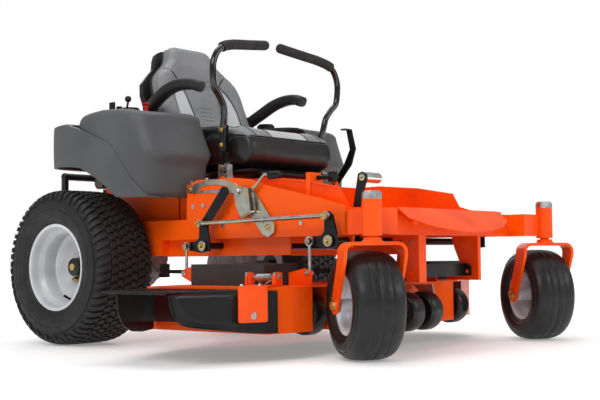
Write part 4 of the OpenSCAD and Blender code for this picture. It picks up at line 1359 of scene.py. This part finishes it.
paint(seat, [SEAT_MID, SEAT_LIGHT, SEAT_BLACK], seat_rule)
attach(seat, "seat")
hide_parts("seat_cushion")
tree = surface_tree(seat)
trim = Build()
trim.add(tube(relax(dense(edge_line, 5), 2), 2.6, 8), PIPING)
for q in panel_lines + [cross]:
    trim.add(tube(relax(dense(q, 5), 2), 1.2, 6), PIPING)
    for off in (-4.5, 4.5):
        stitches(trim, q, tree, off, THREAD)
stitches(trim, edge_line, tree, 6, THREAD)
trim.make("piping_cushion", "seat", "seat_vinyl", 60)


# ---------------------------------------------------------------- armrests and levers

def mirror(side, p):
    """A point given for the left side (+X), on the side asked for."""
    return Vector((p[0] * side, p[1], p[2]))


def armrest(side, name):
    path = [(288, -96, 886), (288, -112, 893), (296, -170, 923), (301, -235, 953), (301, -300, 966),
            (294, -360, 963), (288, -392, 953), (286, -404, 948)]
    path = [mirror(side, p) for p in spline(path, 7)]
    body = "armrest_" + name

    def section(t):
        end = min(1, sqrt(max(0.0, 1 - (1 - clamp(t / 0.07, 0, 1)) ** 2)),
                  sqrt(max(0.0, 1 - (1 - clamp((1 - t) / 0.06, 0, 1)) ** 2)))
        end = max(end, 0.22)
        w = lerp(21, 25, clamp(t * 2.5, 0, 1)) * end
        h = lerp(23, 21, t) * end
        out = []
        for k in range(28):
            a = 2 * pi * k / 28
            c, s = cos(a), sin(a)
            out.append((w * abs(c) ** 0.72 * (1 if c > 0 else -1), h * abs(s) ** 0.72 * (1 if s > 0 else -1)))
        return out
    pad = single(body + "_pad", sweep(path, section, up=(0, 0, 1)), ARM_VINYL, body, "armrest_vinyl", 70)
    subdivide(pad)
    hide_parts(body)
    b = Build()
    # welt between the pad's upper and lower halves
    for sgn in (-1, 1):
        welt = []
        for i in range(5, len(path) - 5):
            d = (path[i + 1] - path[i - 1]).normalized()
            u = d.cross(Vector((0, 0, 1))).normalized()
            v = u.cross(d)
            w = lerp(21, 25, clamp(i / len(path) * 2.5, 0, 1))
            welt.append(path[i] + u * sgn * (w - 0.4) - v * 8)
        b.add(tube(welt, 1.3, 6), PIPING)
    b.add(lathe(mirror(side, (262.5, -108, 893)), (side, 0, 0), [(17, 0), (17, 2)], 24), ZINC)
    b.make(body + "_welt", body, "armrest_vinyl", 60)


LEVER = [(277, -507, 700), (277, -507, 745), (277, -507, 790), (281, -517, 826), (291, -522, 868),
         (318, -526, 903), (344, -530, 930), (352, -533, 970), (352, -534, 1016), (334, -535, 1055),
         (309, -536.6, 1077.5)]
GRIP = [(311, -537, 1076), (296, -535.5, 1083), (272, -532, 1090), (232, -527, 1098), (180, -520, 1105),
        (128, -513, 1112), (78, -506, 1119), (29, -500, 1126)]


def lever(side, name):
    body = "lever_" + name
    b = Build()
    b.add(tube([mirror(side, p) for p in spline(LEVER, 6)], 12.5, 24), GLOSS_BLACK)
    bar = rounded([(-520, 660), (-494, 660), (-492, 800), (-518, 800)], 6, 3)
    b.add(prism(bar, lambda u, v, w: mirror(side, (w, u, v)), 259.5, 264.4), GLOSS_BLACK)
    ob = b.make("tube_" + body, body, "lever_black", 40)
    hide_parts(body)
    grip = [mirror(side, p) for p in spline(GRIP, 7)]

    def section(t):
        e = min(1, sqrt(max(0.0, 1 - (1 - clamp(t / 0.035, 0, 1)) ** 2)) + 0.72,
                sqrt(max(0.0, 1 - (1 - clamp((1 - t) / 0.05, 0, 1)) ** 2)))
        return circle(19 * max(e, 0.3), 28)
    foam = single("grip_" + body, sweep(grip, section), FOAM, body, "lever_black", 60)
    subdivide(foam)
    c = Build()
    plate = rounded([(-521, 640), (-493, 640), (-494, 708), (-512, 712)], 5, 3)
    c.add(prism(plate, lambda u, v, w: mirror(side, (w, u, v)), 256.6, 259.4), ZINC)
    c.add(lathe(mirror(side, (268, -523, 640)), (0, 1, 0), [(10.2, 0), (11, 0.8), (11, 31.2), (10.2, 32)],
                32), ZINC)
    c.add(prism(rounded([(-518, 634), (-496, 634), (-496, 650), (-518, 650)], 3, 2),
                lambda u, v, w: mirror(side, (w, u, v)), 259.4, 266), ZINC)
    for z in (724, 780):
        c.bolt(mirror(side, (259.6, -506, z)), (-side, 0, 0), 6.5, 5, GOLD)
        c.bolt(mirror(side, (289, -507, z)), (side, 0, 0), 6.5, 5, GOLD, 1.4)
        c.add(lathe(mirror(side, (264, -507, z)), (side, 0, 0), [(5, 0), (5, 27)], 16), GOLD)
    for z in (660, 690):
        c.bolt(mirror(side, (256.8, -506, z)), (-side, 0, 0), 5, 4, GOLD)
    c.make("bracket_" + body, body, "zinc", 35)


for name, side in SIDES.items():
    armrest(side, name)
    lever(side, name)

# ---------------------------------------------------------------- deck

CHUTE = (-600, 250)
WALL_START = Vector((-1000, -1006, 0))
WALL_IN = Vector((0.941, -0.34, 0))
WALL_OUT = Vector((-0.34, -0.941, 0))


def on_wall(t, z, out=0.0):
    """A point of the discharge hood's front wall, t mm inwards from its outer end."""
    return WALL_START + WALL_IN * t + WALL_OUT * out + Vector((0, 0, z))


def smooth(x):
    """0 to 1 with soft ends."""
    x = clamp(x, 0, 1)
    return x * x * (3 - 2 * x)


def hood():
    edge = [(350, 86, 0), (300, 87, 0), (240, 92, 0), (180, 99, 0), (120, 106, 0), (80, 111, 0), (50, 117, 0),
            (28, 128, 0), (14, 145, 0), (6, 168, 0), (1, 192, 0), (0, 206, 0)]
    edge = [(q.x, q.y) for q in spline(edge, 4)]
    rows = []
    for k in range(27):
        f = k / 26
        row = []
        for i, (t, z) in enumerate(edge):
            s = i / (len(edge) - 1)
            top = (lerp(350, 62, smooth(s) * 0.4 + s * 0.6), 212.5)
            q = (lerp(t, top[0], f), lerp(z, top[1], f))
            d = sqrt((q[0] - t) ** 2 + (q[1] - z) ** 2)
            raised = smooth((d - 15) / 13) * (1 - smooth((q[0] - 196) / 16)) * (1 - smooth((q[1] - 193) / 14))
            flange = 4 * (1 - smooth(d / 7))
            row.append(on_wall(q[0], q[1], 13 * raised + flange - 2))
        rows.append(row)
    front = single("hood_wall_deflector", grid(rows), HOOD, "deflector", "black_plastic", 70)
    solidify(front, 4, 0)
    bevel(front, 1.0, 2, 60)
    b = Build()
    wall_end = on_wall(300, 0, -3)
    plan = rounded([(-704, -600), (-760, -610), (-1000, -706), (-1000, -1004), (wall_end.x, wall_end.y),
                    (-704, -1104)], 12, 5)
    b.add(prism(plan, lambda u, v, w: Vector((u, v, w)), 212, 216), HOOD)
    b.add(prism([(-996.5, -722), (-1000, -722), (-1000, -994), (-996.5, -994)],
                lambda u, v, w: Vector((u, v, w)), 208, 212.2), HOOD)
    # rear wall, slanted like the sheet's rear edge
    flap = rounded([(0, 212.2), (0, 84), (84, 80), (160, 86), (215, 108), (246, 148), (256, 212.2)], 14, 4)
    b.add(prism(flap, lambda u, v, w: Vector((-706 - 0.924 * u, -606 - 0.383 * u - w, v)), 0, 4.5), HOOD)
    # gussets behind the front wall, and the ribs of the sheet's upper side
    for t in (60, 130, 200):
        b.add(prism([(-2, 212.2), (-2, 150), (-14, 196), (-40, 212.2)],
                    lambda u, v, w: on_wall(t + w, v, u), -1.5, 1.5), HOOD)
    for x in (-770, -840, -910):
        b.add(prism(rounded([(x - 4, -730), (x + 4, -730), (x + 4, -960), (x - 4, -960)], 4, 4),
                    lambda u, v, w: Vector((u, v, w)), 215.8, 217.6), HOOD)
    ob = b.make("hood_top_deflector", "deflector", "black_plastic", 40)
    bevel(ob, 1.0, 2, 40)
    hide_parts("deflector")

    b = Build()
    leaf = rounded([(217, 227.5), (314, 227.5), (314, 120), (217, 120)], 9, 5)
    b.add(prism(leaf, on_wall, 0.4, 4.4), ORANGE)
    a, c = on_wall(219, 0, 3.5), on_wall(312, 0, 3.5)
    plan = [(-604, -950), (-604, -1057), (-620, -1057), (-620, -1070), (c.x, c.y), (a.x, a.y)]
    b.add(prism(plan, lambda u, v, w: Vector((u, v, w)), 223.6, 227.6), ORANGE)
    ear = rounded([(-615, 226), (-600, 226), (-588, 240), (-588, 262), (-612, 262), (-615, 250)], 7, 4)
    for y in (-1056, -957):
        b.add(prism(ear, lambda u, v, w: Vector((u, w, v)), y, y + 6), ORANGE)
    ob = b.make("bracket_deflector", "deflector", "frame_orange", 35)
    bevel(ob, 0.8, 2, 35)
    b = Build()
    b.bolt(on_wall(268, 140, 4.4), WALL_OUT, 6.5, 5, ZINC)
    for t, z in ((236, 226), (296, 226)):
        b.bolt(on_wall(t, z + 1.6, -12), (0, 0, 1), 5.5, 4, ZINC, 1.4)
    b.make("bolts_deflector", "deflector", "zinc", 35)

    # hinge on the deck: two ears, the pin and the spring wound round it
    b = Build()
    ear = rounded([(-618, 222.3), (-582, 222.3), (-583, 254), (-592, 267), (-608, 267), (-617, 254)], 8, 4)
    for y in (-1066.4, -946.4):
        b.add(prism(ear, lambda u, v, w: Vector((u, w, v)), y, y + 8.8), ORANGE)
    ob = b.make("hinge_ears_deck", "deck", "frame_orange", 35)
    bevel(ob, 0.7, 2, 35)
    b = Build()
    turns, per = 24, 12
    coil = [Vector((CHUTE[0] + 10.2 * cos(2 * pi * k / per), -1036 + 60 * k / (turns * per),
                    CHUTE[1] + 10.2 * sin(2 * pi * k / per))) for k in range(turns * per + 1)]
    leg = Vector((CHUTE[0] - 34, -1040, 231))
    b.add(tube([leg] + [coil[0] + Vector((-4, -2, -6))] + coil + [Vector((-590, -974, 236)),
                                                                  Vector((-570, -972, 225.6))],
               1.15, 8), ZINC)
    for y, d in ((-1067, -1), (-937, 1)):
        b.add(lathe((CHUTE[0], y, CHUTE[1]), (0, d, 0), [(9, 0), (9.5, 0.6), (9.5, 3), (8, 4.4), (3, 4.8)],
                    24), ZINC)
    b.make("spring_deck", "deck", "zinc", 40)


hood()

# ---------------------------------------------------------------- small hardware

SIDE_X = 390
CRANK_X = 430
SHAFTS = {"rear_lift_shaft": (-566, 355), "front_lift_shaft": (-1136, 362)}
LINK_BACK = 74
LINK_UP = (4, 79)
HOOK_LOW = 261
ROLLER_END = (-1167, 568)


def flange_nut(b, p, side, r, material):
    """A flanged nut on the end of a pin that stands out of its part."""
    p = mirror(side, p)
    b.add(lathe(p, (side, 0, 0), [(r * 1.1, 0), (r * 1.75, 0.2), (r * 1.7, 1.6), (r * 1.15, 2.6)], 28),
          material)
    b.add(lathe(p + Vector((side * 2.4, 0, 0)), (side, 0, 0), [(r, 0), (r, r * 0.8), (r * 0.88, r * 0.95)],
                6), material)
    b.add(lathe(p + Vector((side * (2.4 + r * 0.9), 0, 0)), (side, 0, 0),
                [(r * 0.52, 0), (r * 0.52, 2.2), (r * 0.4, 3)], 16), material)


def linkage_hardware():
    for name, (y, z) in SHAFTS.items():
        b = Build()
        for side in (-1, 1):
            p = mirror(side, (CRANK_X + 15.9, y, z))
            b.add(lathe(p, (side, 0, 0), [(9, 0), (17.6, 0), (18, 0.5), (18, 2), (17.4, 2.5), (9, 2.5)], 36),
                  ZINC)
            flange_nut(b, (CRANK_X + 18.2, y, z), side, 7.5, GOLD)
            flange_nut(b, (CRANK_X + 29.6, y + LINK_BACK, z), side, 5.4, ZINC)
            flange_nut(b, (CRANK_X + 31.6, y + LINK_UP[0], z + LINK_UP[1]), side, 6.2, GOLD)
        b.make("nuts_" + name, name, "zinc", 35)
    b = Build()
    for y, z in SHAFTS.values():
        for side in (-1, 1):
            flange_nut(b, (463, y + LINK_BACK, HOOK_LOW), side, 5.4, ZINC)
    b.make("nuts_deck_hooks", "deck", "zinc", 35)


def height_hardware():
    """Pivot bolt, ribbed grip, and the pull ring of the height lever."""
    b = Build()
    b.bolt((-(SIDE_X + 11.2), -838, 412), (-1, 0, 0), 7.5, 5.5, GOLD, 1.6)
    b.bolt((-(SIDE_X + 4.2), -452, 560), (-1, 0, 0), 6.4, 4.5, GOLD, 1.5)
    b.make("bolts_height", "chassis", "zinc", 35)
    b = Build()
    rows = []
    for k in range(49):
        t = k / 48
        y = lerp(-850.5, -903, t)
        end = sqrt(clamp(min(t, 1 - t) / 0.06, 0, 1))
        rib = 0.9 if k % 4 < 2 and 6 < k < 42 else 0
        w, h = (9.4 + rib) * (0.82 + 0.18 * end), (12 + rib) * (0.82 + 0.18 * end)
        row = []
        for q in range(28):
            a = 2 * pi * q / 28
            c, d = cos(a), sin(a)
            row.append((-(SIDE_X + 19) + w * abs(c) ** 0.5 * (1 if c > 0 else -1), y,
                        586 + h * abs(d) ** 0.5 * (1 if d > 0 else -1)))
        rows.append(row)
    b.add(loft(rows), BLACK_PLASTIC)
    b.make("grip_height_arm", "height_arm", "black_plastic", 50)
    b = Build()
    ring = [Vector((-(SIDE_X + 50), -722 + 13 * sin(2 * pi * k / 32),
                    553 - 13 * cos(2 * pi * k / 32))) for k in range(32)]
    b.add(tube(ring, 1.5, 8, True), GOLD)
    b.make("ring_height_pin", "height_pin", "zinc", 50)


def foot_roller():
    """Polished sleeve of the foot roller, and the nut of its pin."""
    b = Build()
    y, z = ROLLER_END
    b.add(lathe((-298, y, z), (1, 0, 0), [(10, 0), (16.6, 0), (17.2, 0.6), (17.2, 76.4), (16.6, 77),
                                          (10, 77)], 40), CHROME)
    flange_nut(b, (306.2, y, z), -1, 6.8, ZINC)
    b.make("sleeve_front_lift_shaft", "front_lift_shaft", "zinc", 40)


linkage_hardware()
height_hardware()
foot_roller()
